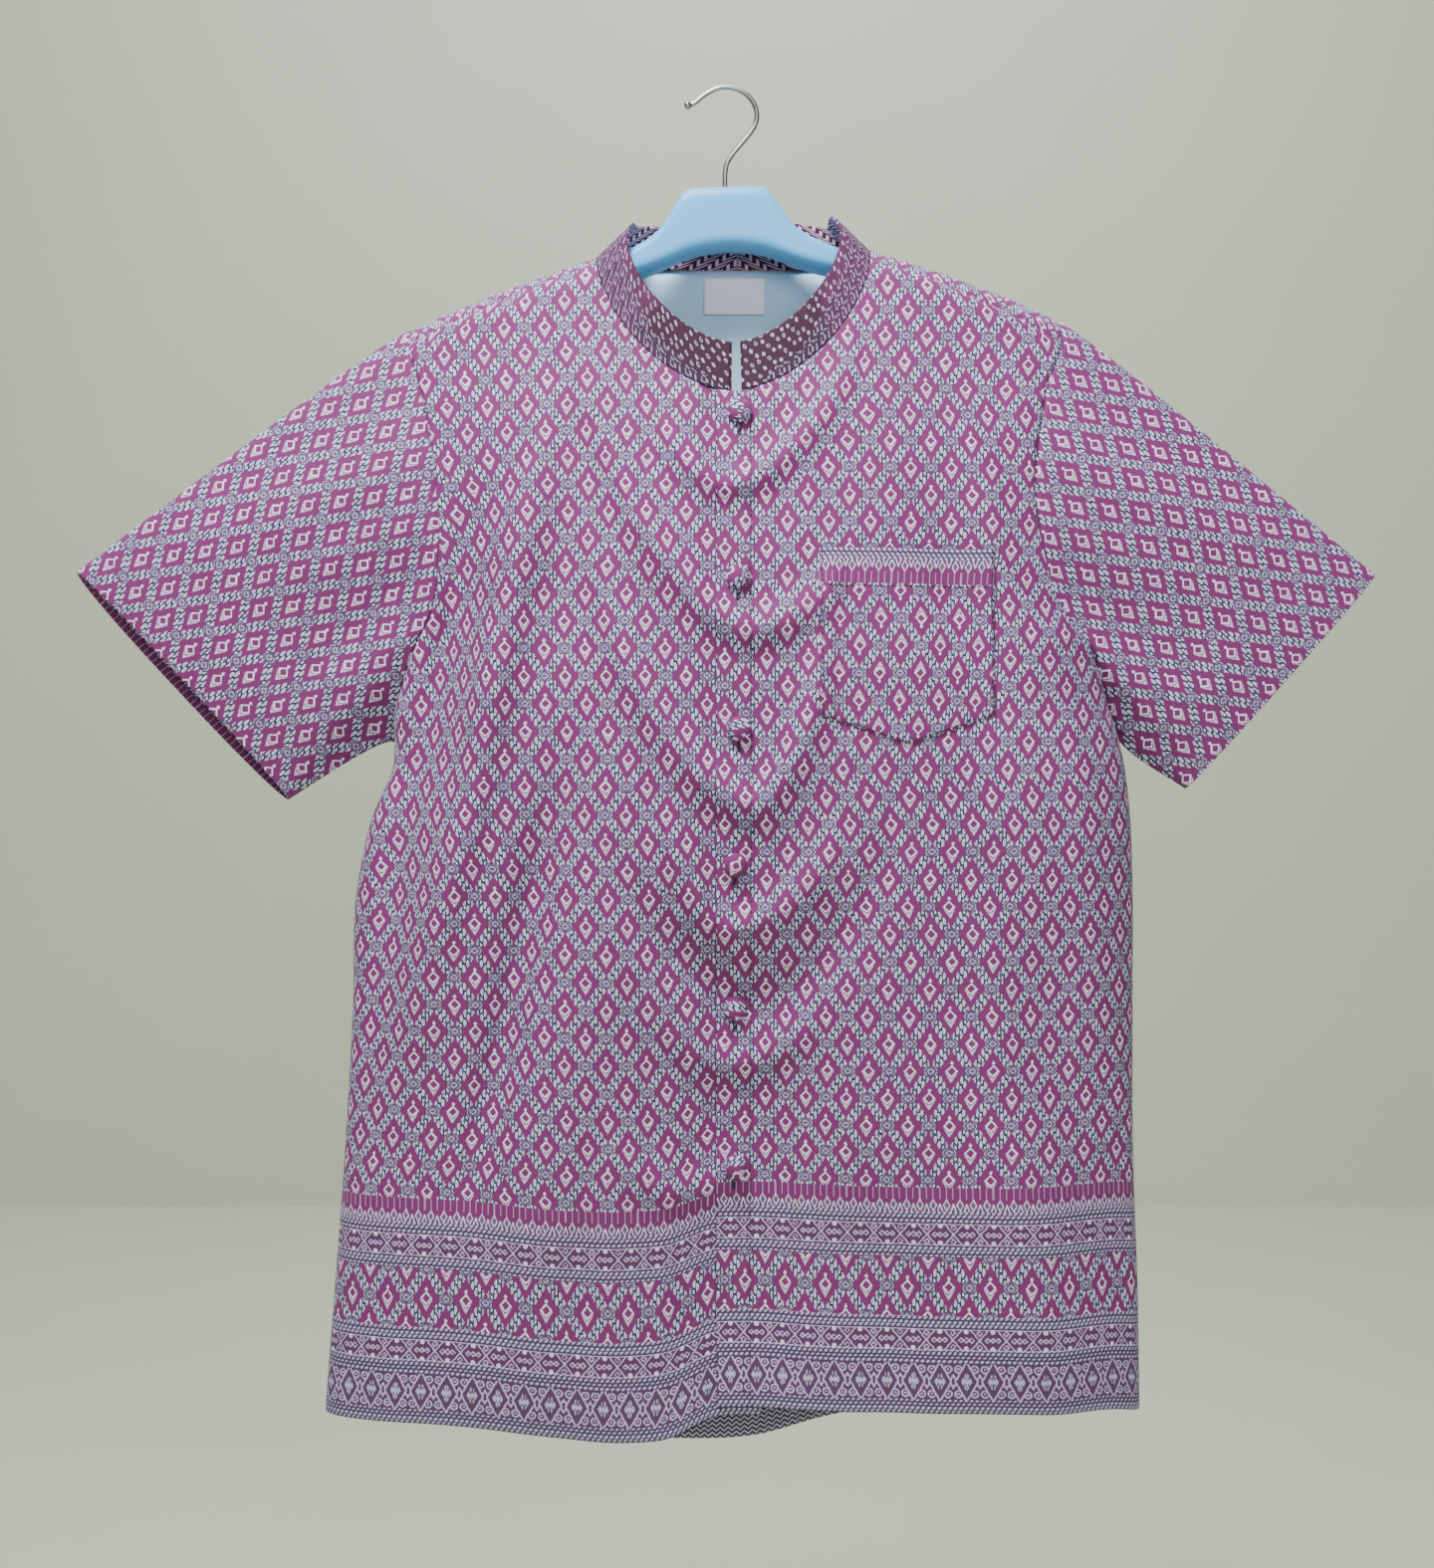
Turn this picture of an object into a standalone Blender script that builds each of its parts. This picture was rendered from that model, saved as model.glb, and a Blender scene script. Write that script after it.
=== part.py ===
"""Mandarin collar shirt hanging on its coat hanger.

X runs to the viewer's right, Y away from the viewer and Z up, from the inner crown of the hook.
The tables and sizes are in millimetres and the meshes in metres. Left and right in a piece's name
are the wearer's, so front_left lies on the viewer's right and buttons over front_right.
"""

import math

import bmesh
import bpy
import numpy as np
from mathutils import Matrix, Vector
from mathutils.bvhtree import BVHTree

MM = 0.001

CLOTH_WALL = 1.4
COLLAR_WALL = 2.4
LABEL_WALL = 1.0
SEAM_GAP = 0.3
LAYER_GAP = 0.45
LEAST_SLANT = 0.6

FRONT = -1.0
BACK = 1.0
VIEWER_LEFT = -1.0
VIEWER_RIGHT = 1.0

BODY_MIDDLE_X = 5.0
SHOULDER_ROUND = 22.0
SECTION_POWER = 2.7
ROWS_BELOW_ARMPIT = 15
ROWS_ABOVE_ARMPIT = 11

# A row per section of the body, from the hem to the shoulder point. The depths are how far the cloth
# stands in front of the hanger's plane and behind it, at the side edge and in the middle. Roundness
# is how fully the section turns the corner at its edge.
SECTION_COLUMNS = (
    "left_z", "left_x", "right_z", "right_x",
    "front_edge", "back_edge", "front_middle", "back_middle", "roundness",
)
SECTIONS = (
    (-870, -254.0, -870, 262.0, 0, 0, 42, 46, 2.7),
    (-833, -252.0, -832, 261.5, 0, 0, 45, 46, 2.7),
    (-755, -246.0, -755, 260.3, 0, 0, 49, 45, 2.7),
    (-675, -240.0, -675, 257.3, 0, 0, 54, 44, 2.7),
    (-575, -234.3, -575, 256.8, 0, 0, 59, 43, 2.7),
    (-505, -231.8, -500, 256.6, 0, 0, 63, 42, 2.7),
    (-457, -221.1, -457, 254.8, 0, 0, 65, 41, 2.7),
    (-428, -209.0, -426, 251.0, 0, 0, 66, 40, 2.7),
    (-414.5, -207.9, -406.3, 246.4, 0, 0, 66, 40, 2.7),
    (-397, -207.8, -389, 240.0, 9, 9, 66, 39, 2.2),
    (-376, -200.5, -366, 231.8, 20, 16, 66, 39, 1.7),
    (-354, -191.8, -350, 223.8, 29, 22, 65, 38, 1.3),
    (-336, -181.9, -334, 210.3, 34, 25, 64, 38, 1.1),
    (-300, -175.8, -292, 195.2, 38, 28, 62, 37, 1.0),
    (-248, -179.0, -248, 190.5, 37, 28, 56, 36, 1.0),
    (-219, -183.2, -215, 195.0, 33, 26, 51, 34, 1.0),
    (-190, -190.2, -190, 200.2, 27, 23, 45, 33, 1.0),
    (-165.4, -197.7, -165.4, 210.1, 21, 20, 39, 32, 1.0),
    (-108, -199.0, -108, 212.0, 20, 20, 26, 30, 1.0),
)
ARMPIT_ROW = 8
SHOULDER_POINT_ROW = 17

# The fold line of the shoulders: across, height.
RIDGE = (
    (-232, -173.2), (-198, -153.7), (-147, -131.6), (-81, -107.1), (0, -76.0),
    (89.5, -102.1), (152, -122.9), (212.4, -149.5), (253, -180.2),
)

# A row per fold: its way down the cloth by height and place across at the top, middle and end, its
# half width, and how far it stands out. A valley stands out by less than nothing.
FOLD_COLUMNS = ("z0", "x0", "z1", "x1", "z2", "x2", "width", "height")
FRONT_FOLDS = (
    (-215, -108, -330, -136, -470, -160, 17, 8),
    (-250, -160, -350, -166, -480, -190, 15, -9),
    (-400, -146, -520, -175, -680, -208, 18, 8),
    (-420, -182, -560, -212, -690, -234, 14, -9),
    (-430, -60, -640, -100, -900, -125, 34, 6),
    (-470, -12, -700, 10, -950, 10, 62, -22),
    (-560, 150, -720, 190, -930, 215, 36, 12),
    (-200, 150, -300, 172, -400, 205, 16, 6),
    (-230, 120, -330, 140, -470, 175, 20, -5),
    (-380, 215, -480, 222, -640, 236, 14, 5),
    (-640, 90, -760, 98, -920, 105, 26, -5),
)
BACK_FOLDS = (
    (-230, -70, -480, -96, -930, -120, 34, 11),
    (-300, 4, -560, 8, -960, 16, 30, -10),
    (-260, 86, -520, 110, -930, 132, 36, 10),
    (-420, -170, -620, -185, -930, -196, 26, -8),
    (-400, 176, -600, 190, -930, 206, 24, 7),
)

# The lower edge of each panel: across, height.
RIGHT_HEM = ((-252, -833), (-150, -835), (-107, -839.5), (-60, -844), (-35, -842.5), (-8, -831.5), (22, -830))
LEFT_HEM = ((-8, -825), (100, -826), (200, -826), (245, -828), (261.5, -832))
BACK_HEM = ((-252, -833), (-100, -860), (-18, -867), (20, -864), (68, -852), (150, -840), (261.5, -832))

NECK_HALF_WIDTH = 86.0
NECK_TOP_Z = -108.3
NECK_DROP = 91.0
NECK_POWER = 1.7
BACK_NECK_Z = -107.6
SHOULDER_SEAM_DROP = 8.0
BACK_SEAM_ANGLE = math.radians(50.0)

OVERLAP_X = (-5.0, 4.0, 10.0, 22.0)
OVERLAP_BLEND = 14.0
UNDERLAP_TOP_DROP = 1.3
FRONT_COLUMNS = 17
NECK_COLUMNS = 9
BACK_COLUMNS = 30
BACK_NECK_COLUMNS = 14

# The collar band, from the centre front round to the centre back: share of the way, how far its top
# leans in to the neck, how far back, and how far up.
COLLAR_RISE = (
    (0.0, 1, 10, 32), (0.22, 9, 7, 30), (0.42, 15, 7, 27), (0.58, 23, 7, 24),
    (0.70, 22, 2, 27), (0.85, 8, -1, 31), (1.0, 0, -1, 33),
)
COLLAR_ROWS = 4

# A row per sleeve: the hem's upper and lower corners, how far the front and back layers' hems swell
# along the sleeve, and how far the upper and under edges bow up.
SLEEVE_COLUMNS = ("top_x", "top_z", "under_x", "under_z", "front_swell", "back_swell", "top_bow", "under_bow")
SLEEVE_RIGHT = (-410.1, -305.5, -275.9, -449.2, -4.5, 6.0, 5.0, 5.5)
SLEEVE_LEFT = (411.0, -307.0, 291.0, -442.2, 0.5, 1.0, 4.5, -5.0)
SLEEVE_FRONT_DEPTH = 13.0
SLEEVE_BACK_DEPTH = 11.0
SLEEVE_POWER = 2.5
SLEEVE_ROWS = 11
# Folds of a sleeve: share round the front layer at the shoulder and at the hem, width, height.
SLEEVE_FOLDS = ((0.32, 0.30, 0.09, 5.0), (0.62, 0.55, 0.10, -5.0), (0.84, 0.80, 0.07, 4.0))

POCKET_LEFT = 56.7
POCKET_RIGHT = 164.1
POCKET_TOP = -296.4
POCKET_CORNER = -397.6
POCKET_POINT = -415.6
POCKET_COLUMNS = 10
POCKET_ROWS = 9

LABEL_LEFT = -13.4
LABEL_RIGHT = 25.9
LABEL_TOP = -112.5
LABEL_BOTTOM = -136.2

BUTTONS = ((8.8, -212.7), (7.6, -314.5), (8.2, -406.0), (5.8, -488.0), (5.9, -577.0), (5.4, -675.0))
# A covered button's section: radius, height above the cloth.
BUTTON_PROFILE = ((4.6, 0.0), (6.9, 0.9), (7.5, 2.2), (7.0, 3.6), (5.2, 4.9), (2.6, 5.7))
BUTTON_TOP = 6.0
BUTTON_SIDES = 16

HANGER_TILT = math.radians(2.0)
HANGER_PIVOT_Z = -64.0
# Stations of the moulded hanger out from its middle: across, top, underside, half thickness and how
# square its section is.
HANGER_STATIONS = (
    (0, -63.8, -101.6, 14, 5.0), (13, -63.8, -102.6, 14, 5.0), (23, -64.2, -104.6, 14, 5.0),
    (27, -66.8, -105.9, 14, 5.0), (30, -70.5, -107.2, 14, 5.0), (35, -79.0, -109.2, 14, 4.6),
    (42, -88.8, -112.0, 14, 4.2), (51, -95.4, -115.6, 14, 3.6), (62, -100.5, -119.5, 14, 3.0),
    (78, -107.6, -125.0, 13.5, 2.4), (100, -114.4, -131.5, 13.5, 2.2), (130, -126.0, -142.5, 13, 2.2),
    (160, -136.2, -152.5, 12.5, 2.2), (180, -144.4, -159.0, 11.5, 2.2), (189, -149.5, -160.5, 9, 2.2),
    (193, -153.2, -159.0, 5, 2.2),
)
HANGER_SIDES = 20

WIRE_RADIUS = 1.6
WIRE_SIDES = 10
HOOK_BALL = (0.8, 2.1, 2.7, 2.4)
STEM_SOCKET_DEPTH = 12.0
STEM_SOCKET_RADIUS = 1.95
# The hook's wire from its tip to the hanger: across, height.
HOOK = (
    (-25.6, -10.3), (-24.4, -10.0), (-23.0, -9.8), (-21.4, -9.5), (-18.6, -8.0), (-15.0, -5.0), (-10.4, -1.8),
    (-5.2, 0.7), (0.0, 1.6), (5.6, 0.8), (10.8, -1.2), (15.2, -4.6), (18.6, -9.4), (20.2, -15.0), (19.4, -21.4),
    (16.0, -27.4), (10.6, -34.0), (5.2, -40.4), (1.6, -46.0), (0.2, -52.0), (0.0, -60.0), (0.0, -75.4),
)

# Colour, roughness and metallic of each material.
LOOKS = {
    "cloth": ((0.36, 0.055, 0.20), 0.72, 0.0),
    "collar": ((0.27, 0.025, 0.12), 0.72, 0.0),
    "button": ((0.20, 0.025, 0.10), 0.62, 0.0),
    "label": ((0.80, 0.81, 0.78), 0.80, 0.0),
    "hanger": ((0.42, 0.62, 0.78), 0.38, 0.0),
    "hook": ((0.55, 0.55, 0.53), 0.30, 1.0),
}


def column(rows, names, name):
    return np.array([row[names.index(name)] for row in rows], float)


def smooth(at, keys, values):
    """The values at the keys joined by one smooth curve, level beyond both ends."""
    keys = np.asarray(keys, float)
    values = np.asarray(values, float)
    slopes = np.gradient(values, keys)
    at = np.clip(np.asarray(at, float), keys[0], keys[-1])
    low = np.clip(np.searchsorted(keys, at) - 1, 0, len(keys) - 2)
    span = keys[low + 1] - keys[low]
    t = (at - keys[low]) / span
    start = (1 + 2 * t) * (1 - t) ** 2 * values[low] + t * (1 - t) ** 2 * span * slopes[low]
    end = t * t * (3 - 2 * t) * values[low + 1] + t * t * (t - 1) * span * slopes[low + 1]
    return start + end


def through(at, rows):
    keys, values = zip(*rows)
    return smooth(at, keys, values)


def of_section(name, x, z):
    """A column of the sections at a height, read on the side that each point lies on."""
    values = column(SECTIONS, SECTION_COLUMNS, name)
    left = smooth(z, column(SECTIONS, SECTION_COLUMNS, "left_z"), values)
    right = smooth(z, column(SECTIONS, SECTION_COLUMNS, "right_z"), values)
    return np.where(x < BODY_MIDDLE_X, left, right)


def edge_x(side, z):
    name = "left" if side < 0 else "right"
    heights = column(SECTIONS, SECTION_COLUMNS, name + "_z")
    return smooth(z, heights, column(SECTIONS, SECTION_COLUMNS, name + "_x"))


def section_z(side, row):
    return SECTIONS[row][SECTION_COLUMNS.index("left_z" if side < 0 else "right_z")]


def middle_depth(face, z):
    """The depth of the middle of the body, the same seen from both sides."""
    name = "front_middle" if face < 0 else "back_middle"
    both = column(SECTIONS, SECTION_COLUMNS, "left_z") + column(SECTIONS, SECTION_COLUMNS, "right_z")
    return smooth(z, both / 2, column(SECTIONS, SECTION_COLUMNS, name))


def ramp(value):
    t = np.clip(value, 0, 1)
    return t * t * (3 - 2 * t)


def folds(rows, x, z):
    """How far the folds lift the cloth at each point."""
    lift = np.zeros(np.broadcast(x, z).shape)
    for z0, x0, z1, x1, z2, x2, width, height in rows:
        middle = smooth(z, (z2, z1, z0), (x2, x1, x0))
        reach = 0.4 * (z0 - z2)
        fade = ramp((z0 - z) / reach) * ramp((z - z2) / reach)
        lift = lift + height * fade * np.exp(-(((x - middle) / width) ** 2))
    return lift


def body_y(face, x, z):
    """The outer face of the front or the back at a place across and a height."""
    x = np.asarray(x, float)
    z = np.asarray(z, float)
    reach = np.where(x < BODY_MIDDLE_X, edge_x(VIEWER_LEFT, z), edge_x(VIEWER_RIGHT, z)) - BODY_MIDDLE_X
    across = np.clip((x - BODY_MIDDLE_X) / reach, 0, 1)
    edge = of_section("front_edge" if face < 0 else "back_edge", x, z)
    middle = middle_depth(face, z)
    rounding = (1 - across**SECTION_POWER) ** (1 / of_section("roundness", x, z))
    below = np.clip((through(x, RIDGE) - z) / SHOULDER_ROUND, 0, 1)
    arch = np.sqrt(1 - (1 - below) ** 2)
    rows = FRONT_FOLDS if face < 0 else BACK_FOLDS
    lift = folds(rows, x, z) * (1 - across**6)
    return face * arch * (edge + (middle - edge) * rounding + lift)


def neck_z(x):
    """The front neckline at a place across."""
    across = np.clip(np.abs((x - BODY_MIDDLE_X) / NECK_HALF_WIDTH), 0, 1)
    return NECK_TOP_Z - NECK_DROP * (1 - across**NECK_POWER) ** (1 / NECK_POWER)


def spaced(points, count):
    """So many steps of equal length along a line through the points, as places from 0 to 1."""
    steps = np.linalg.norm(np.diff(points, axis=0), axis=1)
    along = np.concatenate([[0], np.cumsum(steps)])
    return np.interp(np.linspace(0, 1, count + 1), along / along[-1], np.linspace(0, 1, len(along)))


def row_height(side, v, hem):
    """A row's height at each place across, and where it meets the side edge. v runs from hem to armpit."""
    hem_x, hem_z = hem[0] if side < 0 else hem[-1]
    ends = [section_z(s, ARMPIT_ROW) for s in (VIEWER_LEFT, VIEWER_RIGHT)]
    own = section_z(side, ARMPIT_ROW)
    level = sum(ends) / 2
    end_x = float(edge_x(side, (1 - v) * hem_z + v * own))

    def height(x):
        share = (x - BODY_MIDDLE_X) / (end_x - BODY_MIDDLE_X)
        low = through(BODY_MIDDLE_X + share * (hem_x - BODY_MIDDLE_X), hem)
        return (1 - v) * low + v * (level + (own - level) * np.clip(share, 0, 1))

    return height, end_x


def row_across(face, side, start_x, height, end_x, count):
    """Points at equal steps of cloth from start_x to the side edge."""
    share = 1 - (1 - np.linspace(0, 1, 241)) ** 2
    x = start_x + (end_x - start_x) * share
    z = height(x)
    at = spaced(np.column_stack([x, body_y(face, x, z), z]), count)
    x = np.interp(at, np.linspace(0, 1, len(x)), x)
    x[-1] = end_x
    return np.column_stack([x, height(x)])


def armhole(side, count):
    """The edge of the body from the armpit to the shoulder point, in equal steps."""
    z = np.linspace(section_z(side, ARMPIT_ROW), section_z(side, SHOULDER_POINT_ROW), 200)
    x = edge_x(side, z)
    at = spaced(np.column_stack([x, z]), count)
    z = np.interp(at, np.linspace(0, 1, len(z)), z)
    return np.column_stack([edge_x(side, z), z])


def patch(bottom, top, inner, outer):
    """A grid of points that fills four edges: rows from the bottom up, columns from inner to outer."""
    rows = len(inner)
    columns = len(bottom)
    v = np.linspace(0, 1, rows)[:, None, None]
    u = np.linspace(0, 1, columns)[None, :, None]
    across = (1 - u) * inner[:, None] + u * outer[:, None]
    upward = (1 - v) * bottom[None] + v * top[None]
    corners = (1 - v) * ((1 - u) * bottom[0] + u * bottom[-1]) + v * ((1 - u) * top[0] + u * top[-1])
    return across + upward - corners


def seam_drop(side, x):
    """How far the shoulder seam lies below the fold line, from the neck to the shoulder point."""
    point_x = edge_x(side, section_z(side, SHOULDER_POINT_ROW))
    point_drop = through(point_x, RIDGE) - section_z(side, SHOULDER_POINT_ROW)
    neck_x = BODY_MIDDLE_X + side * NECK_HALF_WIDTH
    share = np.clip((x - neck_x) / (point_x - neck_x), 0, 1)
    return SHOULDER_SEAM_DROP + (point_drop - SHOULDER_SEAM_DROP) * share


def neck_seam_x(side):
    """Where the front neckline meets the shoulder seam."""
    x = BODY_MIDDLE_X + side * NECK_HALF_WIDTH
    for _ in range(40):
        wanted = through(x, RIDGE) - SHOULDER_SEAM_DROP
        across = (1 - (np.clip(NECK_TOP_Z - wanted, 0, None) / NECK_DROP) ** NECK_POWER) ** (1 / NECK_POWER)
        x = BODY_MIDDLE_X + side * NECK_HALF_WIDTH * across
    return float(x)


def back_neck_x(side):
    """Where the back neckline meets the line on which the shoulder's rounding starts."""
    drop = SHOULDER_ROUND * (1 - math.cos(BACK_SEAM_ANGLE))
    x = np.linspace(BODY_MIDDLE_X + side * NECK_HALF_WIDTH, BODY_MIDDLE_X + side * 30, 400)
    return float(x[np.argmin(np.abs(through(x, RIDGE) - drop - BACK_NECK_Z))])


def front_top(side, start_x):
    """The upper edge of a front: its neckline, then its shoulder seam."""
    seam_x = neck_seam_x(side)
    share = np.sin(np.linspace(0, math.pi / 2, 300))
    x = start_x + (seam_x - start_x) * share
    z = neck_z(x)
    at = spaced(np.column_stack([x, z]), NECK_COLUMNS)
    x = np.interp(at, np.linspace(0, 1, len(x)), x)
    z = neck_z(x)
    z[-1] = through(seam_x, RIDGE) - SHOULDER_SEAM_DROP
    point_x = edge_x(side, section_z(side, SHOULDER_POINT_ROW))
    seam = np.linspace(seam_x, point_x, FRONT_COLUMNS - NECK_COLUMNS + 1)[1:]
    seam_z = through(seam, RIDGE) - seam_drop(side, seam)
    return np.column_stack([np.concatenate([x, seam]), np.concatenate([z, seam_z])])


def with_depth(face, grid):
    return np.dstack([grid[..., 0], body_y(face, grid[..., 0], grid[..., 1]), grid[..., 1]])


def under_layer(grid):
    """Moves the underlap of front_right in beneath the edge of front_left."""
    drop = (CLOTH_WALL + LAYER_GAP) * 1.04
    share = ramp((grid[..., 0] - OVERLAP_X[0] + OVERLAP_BLEND) / OVERLAP_BLEND)
    moved = grid.copy()
    moved[..., 1] += drop * share
    moved[-1, :, 2] -= UNDERLAP_TOP_DROP * share[-1]
    return moved


def front_grid(side, hem):
    """A front panel's outer face: rows from the hem up, columns from its own free edge out."""
    overlap = OVERLAP_X if side > 0 else OVERLAP_X[::-1]
    start_x = overlap[-1]
    rows = []
    for v in np.linspace(0, 1, ROWS_BELOW_ARMPIT + 1):
        height, end_x = row_height(side, v, hem)
        main = row_across(FRONT, side, start_x, height, end_x, FRONT_COLUMNS)
        lap = np.array([(x, height(x)) for x in overlap[:-1]])
        rows.append(np.vstack([lap, main]))
    lower = np.array(rows)
    bottom = lower[-1, len(overlap) - 1 :]
    top = front_top(side, start_x)
    v = np.linspace(0, 1, ROWS_ABOVE_ARMPIT + 1)[:, None]
    inner = (1 - v) * bottom[0] + v * top[0]
    upper = patch(bottom, top, inner, armhole(side, ROWS_ABOVE_ARMPIT))
    laps = []
    for x, low in zip(overlap[:-1], lower[-1]):
        high = np.array([x, neck_z(x)])
        laps.append((1 - v) * low + v * high)
    upper = np.concatenate([np.stack(laps, axis=1), upper], axis=1)
    grid = with_depth(FRONT, np.concatenate([lower, upper[1:]]))
    return under_layer(grid) if side < 0 else grid


def back_grid():
    """The back panel up to the start of the shoulders' rounding: rows from the hem up."""
    half = BACK_COLUMNS // 2
    rows = []
    for v in np.linspace(0, 1, ROWS_BELOW_ARMPIT + 1):
        halves = []
        for side in (VIEWER_LEFT, VIEWER_RIGHT):
            height, end_x = row_height(side, v, BACK_HEM)
            halves.append(row_across(BACK, side, BODY_MIDDLE_X, height, end_x, half))
        rows.append(np.vstack([halves[0][::-1], halves[1][1:]]))
    lower = np.array(rows)
    drop = SHOULDER_ROUND * (1 - math.cos(BACK_SEAM_ANGLE))
    shoulder_columns = (BACK_COLUMNS - BACK_NECK_COLUMNS) // 2
    necks = [back_neck_x(side) for side in (VIEWER_LEFT, VIEWER_RIGHT)]
    points = [edge_x(side, section_z(side, SHOULDER_POINT_ROW)) for side in (VIEWER_LEFT, VIEWER_RIGHT)]
    left = np.linspace(points[0], necks[0], shoulder_columns + 1)
    right = np.linspace(necks[1], points[1], shoulder_columns + 1)
    neck = np.linspace(necks[0], necks[1], BACK_NECK_COLUMNS + 1)[1:-1]
    x = np.concatenate([left, neck, right])
    z = through(x, RIDGE) - drop
    z[shoulder_columns : shoulder_columns + BACK_NECK_COLUMNS + 1] = BACK_NECK_Z
    top = np.column_stack([x, z])
    left_arm = armhole(VIEWER_LEFT, ROWS_ABOVE_ARMPIT)
    right_arm = armhole(VIEWER_RIGHT, ROWS_ABOVE_ARMPIT)
    left_arm[-1] = top[0]
    right_arm[-1] = top[-1]
    upper = patch(lower[-1], top, left_arm, right_arm)
    return with_depth(BACK, np.concatenate([lower, upper[1:]]))


def shoulder_grid(side):
    """The part of the back panel that rounds the shoulder, from behind over to the seam in front."""
    count = (BACK_COLUMNS - BACK_NECK_COLUMNS) // 2
    point_x = edge_x(side, section_z(side, SHOULDER_POINT_ROW))
    rows = []
    for angle in (BACK_SEAM_ANGLE, BACK_SEAM_ANGLE / 2, 0.0, -0.5, -1.0):
        front_row = angle < 0
        drop = SHOULDER_ROUND * (1 - math.cos(angle))
        if angle == BACK_SEAM_ANGLE:
            start = back_neck_x(side)
        elif angle > 0:
            search = np.linspace(back_neck_x(side), BODY_MIDDLE_X + side * NECK_HALF_WIDTH, 400)
            start = search[np.argmin(np.abs(through(search, RIDGE) - drop - BACK_NECK_Z))]
        elif angle == 0:
            start = BODY_MIDDLE_X + side * NECK_HALF_WIDTH
        else:
            start = (1 + angle) * (BODY_MIDDLE_X + side * NECK_HALF_WIDTH) - angle * neck_seam_x(side)
        x = np.linspace(start, point_x, count + 1)
        if front_row:
            full = np.arccos(1 - seam_drop(side, x) / SHOULDER_ROUND)
            drop = SHOULDER_ROUND * (1 - np.cos(full * -angle))
        z = through(x, RIDGE) - drop
        if angle == -1.0:
            top = front_top(side, OVERLAP_X[-1] if side > 0 else OVERLAP_X[0])[NECK_COLUMNS:]
            x = np.interp(np.linspace(0, 1, count + 1), np.linspace(0, 1, len(top)), top[:, 0])
            z = np.interp(np.linspace(0, 1, count + 1), np.linspace(0, 1, len(top)), top[:, 1])
        face = BACK if angle >= 0 else FRONT
        rows.append(np.column_stack([x, body_y(face, x, z), z]))
    return np.array(rows)


def along_ring(points):
    steps = np.linalg.norm(np.diff(points, axis=0), axis=1)
    along = np.concatenate([[0], np.cumsum(steps)])
    return along / along[-1]


def sleeve_grid(side, ring, ridge_index):
    """A sleeve from its armhole ring out to its hem: rows along the sleeve, columns round it."""
    sizes = dict(zip(SLEEVE_COLUMNS, SLEEVE_LEFT if side > 0 else SLEEVE_RIGHT))
    top = np.array([sizes["top_x"], 0.0, sizes["top_z"]])
    under = np.array([sizes["under_x"], 0.0, sizes["under_z"]])
    edge = (under - top) / np.linalg.norm(under - top)
    axis = np.array([-side * edge[2], 0.0, side * edge[0]])
    axis = axis if axis[2] < 0 else -axis
    front = along_ring(ring[ridge_index::-1]) if ridge_index else None
    shares = np.zeros(len(ring))
    faces = np.full(len(ring), FRONT)
    shares[: ridge_index + 1] = front[::-1]
    shares[ridge_index:] = along_ring(ring[ridge_index:])
    faces[ridge_index:] = BACK
    angle = math.pi * shares
    cosine = np.cos(angle)
    chord = (1 - np.sign(cosine) * np.abs(cosine) ** (2 / SLEEVE_POWER)) / 2
    depth = np.sin(angle).clip(0, 1) ** (2 / SLEEVE_POWER)
    depth *= np.where(faces < 0, -SLEEVE_FRONT_DEPTH, SLEEVE_BACK_DEPTH)
    swell = np.where(faces < 0, sizes["front_swell"], sizes["back_swell"]) * np.sin(angle)
    hem = top + chord[:, None] * (under - top) + swell[:, None] * axis
    hem[:, 1] = depth
    rows = []
    for s in np.linspace(0, 1, SLEEVE_ROWS + 1):
        row = (1 - s) * ring + s * hem
        bow = math.sin(math.pi * math.sqrt(s))
        row[:, 2] += bow * (sizes["top_bow"] * (1 - shares) ** 2 + sizes["under_bow"] * shares**2)
        fade = math.sin(math.pi * min(s * 1.25, 1.0) ** 0.8) if s < 0.8 else 0.0
        fade = max(fade, 0.0)
        for start, end, width, height in SLEEVE_FOLDS:
            place = (1 - s) * start + s * end
            row[:, 1] += faces * height * fade * np.sin(angle) * np.exp(-(((shares - place) / width) ** 2))
        rows.append(row)
    return np.array(rows)


def collar_grid(base):
    """The collar band from its base line, which runs from one front end round to the other."""
    share = along_ring(base)
    share = 1 - np.abs(2 * share - 1)
    keys = [row[0] for row in COLLAR_RISE]
    inward = smooth(share, keys, [row[1] for row in COLLAR_RISE])
    backward = smooth(share, keys, [row[2] for row in COLLAR_RISE])
    upward = smooth(share, keys, [row[3] for row in COLLAR_RISE])
    towards = np.sign(BODY_MIDDLE_X - base[:, 0])
    rise = np.column_stack([inward * towards, backward, upward])
    return np.array([base + v * rise for v in np.linspace(0, 1, COLLAR_ROWS + 1)])


def surface(name, blocks):
    """One open sheet made of grids of points, welded where they share an edge."""
    bm = bmesh.new()
    for block in blocks:
        rows, columns = block.shape[:2]
        made = bmesh.ops.create_grid(bm, x_segments=columns - 1, y_segments=rows - 1, size=1.0)["verts"]
        # create_grid runs along X first, from the lower left corner.
        for vert, point in zip(made, block.reshape(-1, 3)):
            vert.co = Vector(point)
    bmesh.ops.remove_doubles(bm, verts=bm.verts, dist=0.01)
    mesh = bpy.data.meshes.new(name)
    bm.to_mesh(mesh)
    bm.free()
    return mesh


def key_of(co):
    return tuple(round(c * 20) for c in co)


def face_outward(bm, outward):
    """Turns the sheet so that its normals agree with a rough outward direction."""
    bm.normal_update()
    agree = sum(face.normal.dot(outward(face.calc_center_median())) for face in bm.faces)
    if agree < 0:
        bmesh.ops.reverse_faces(bm, faces=bm.faces)
    bm.normal_update()


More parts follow.
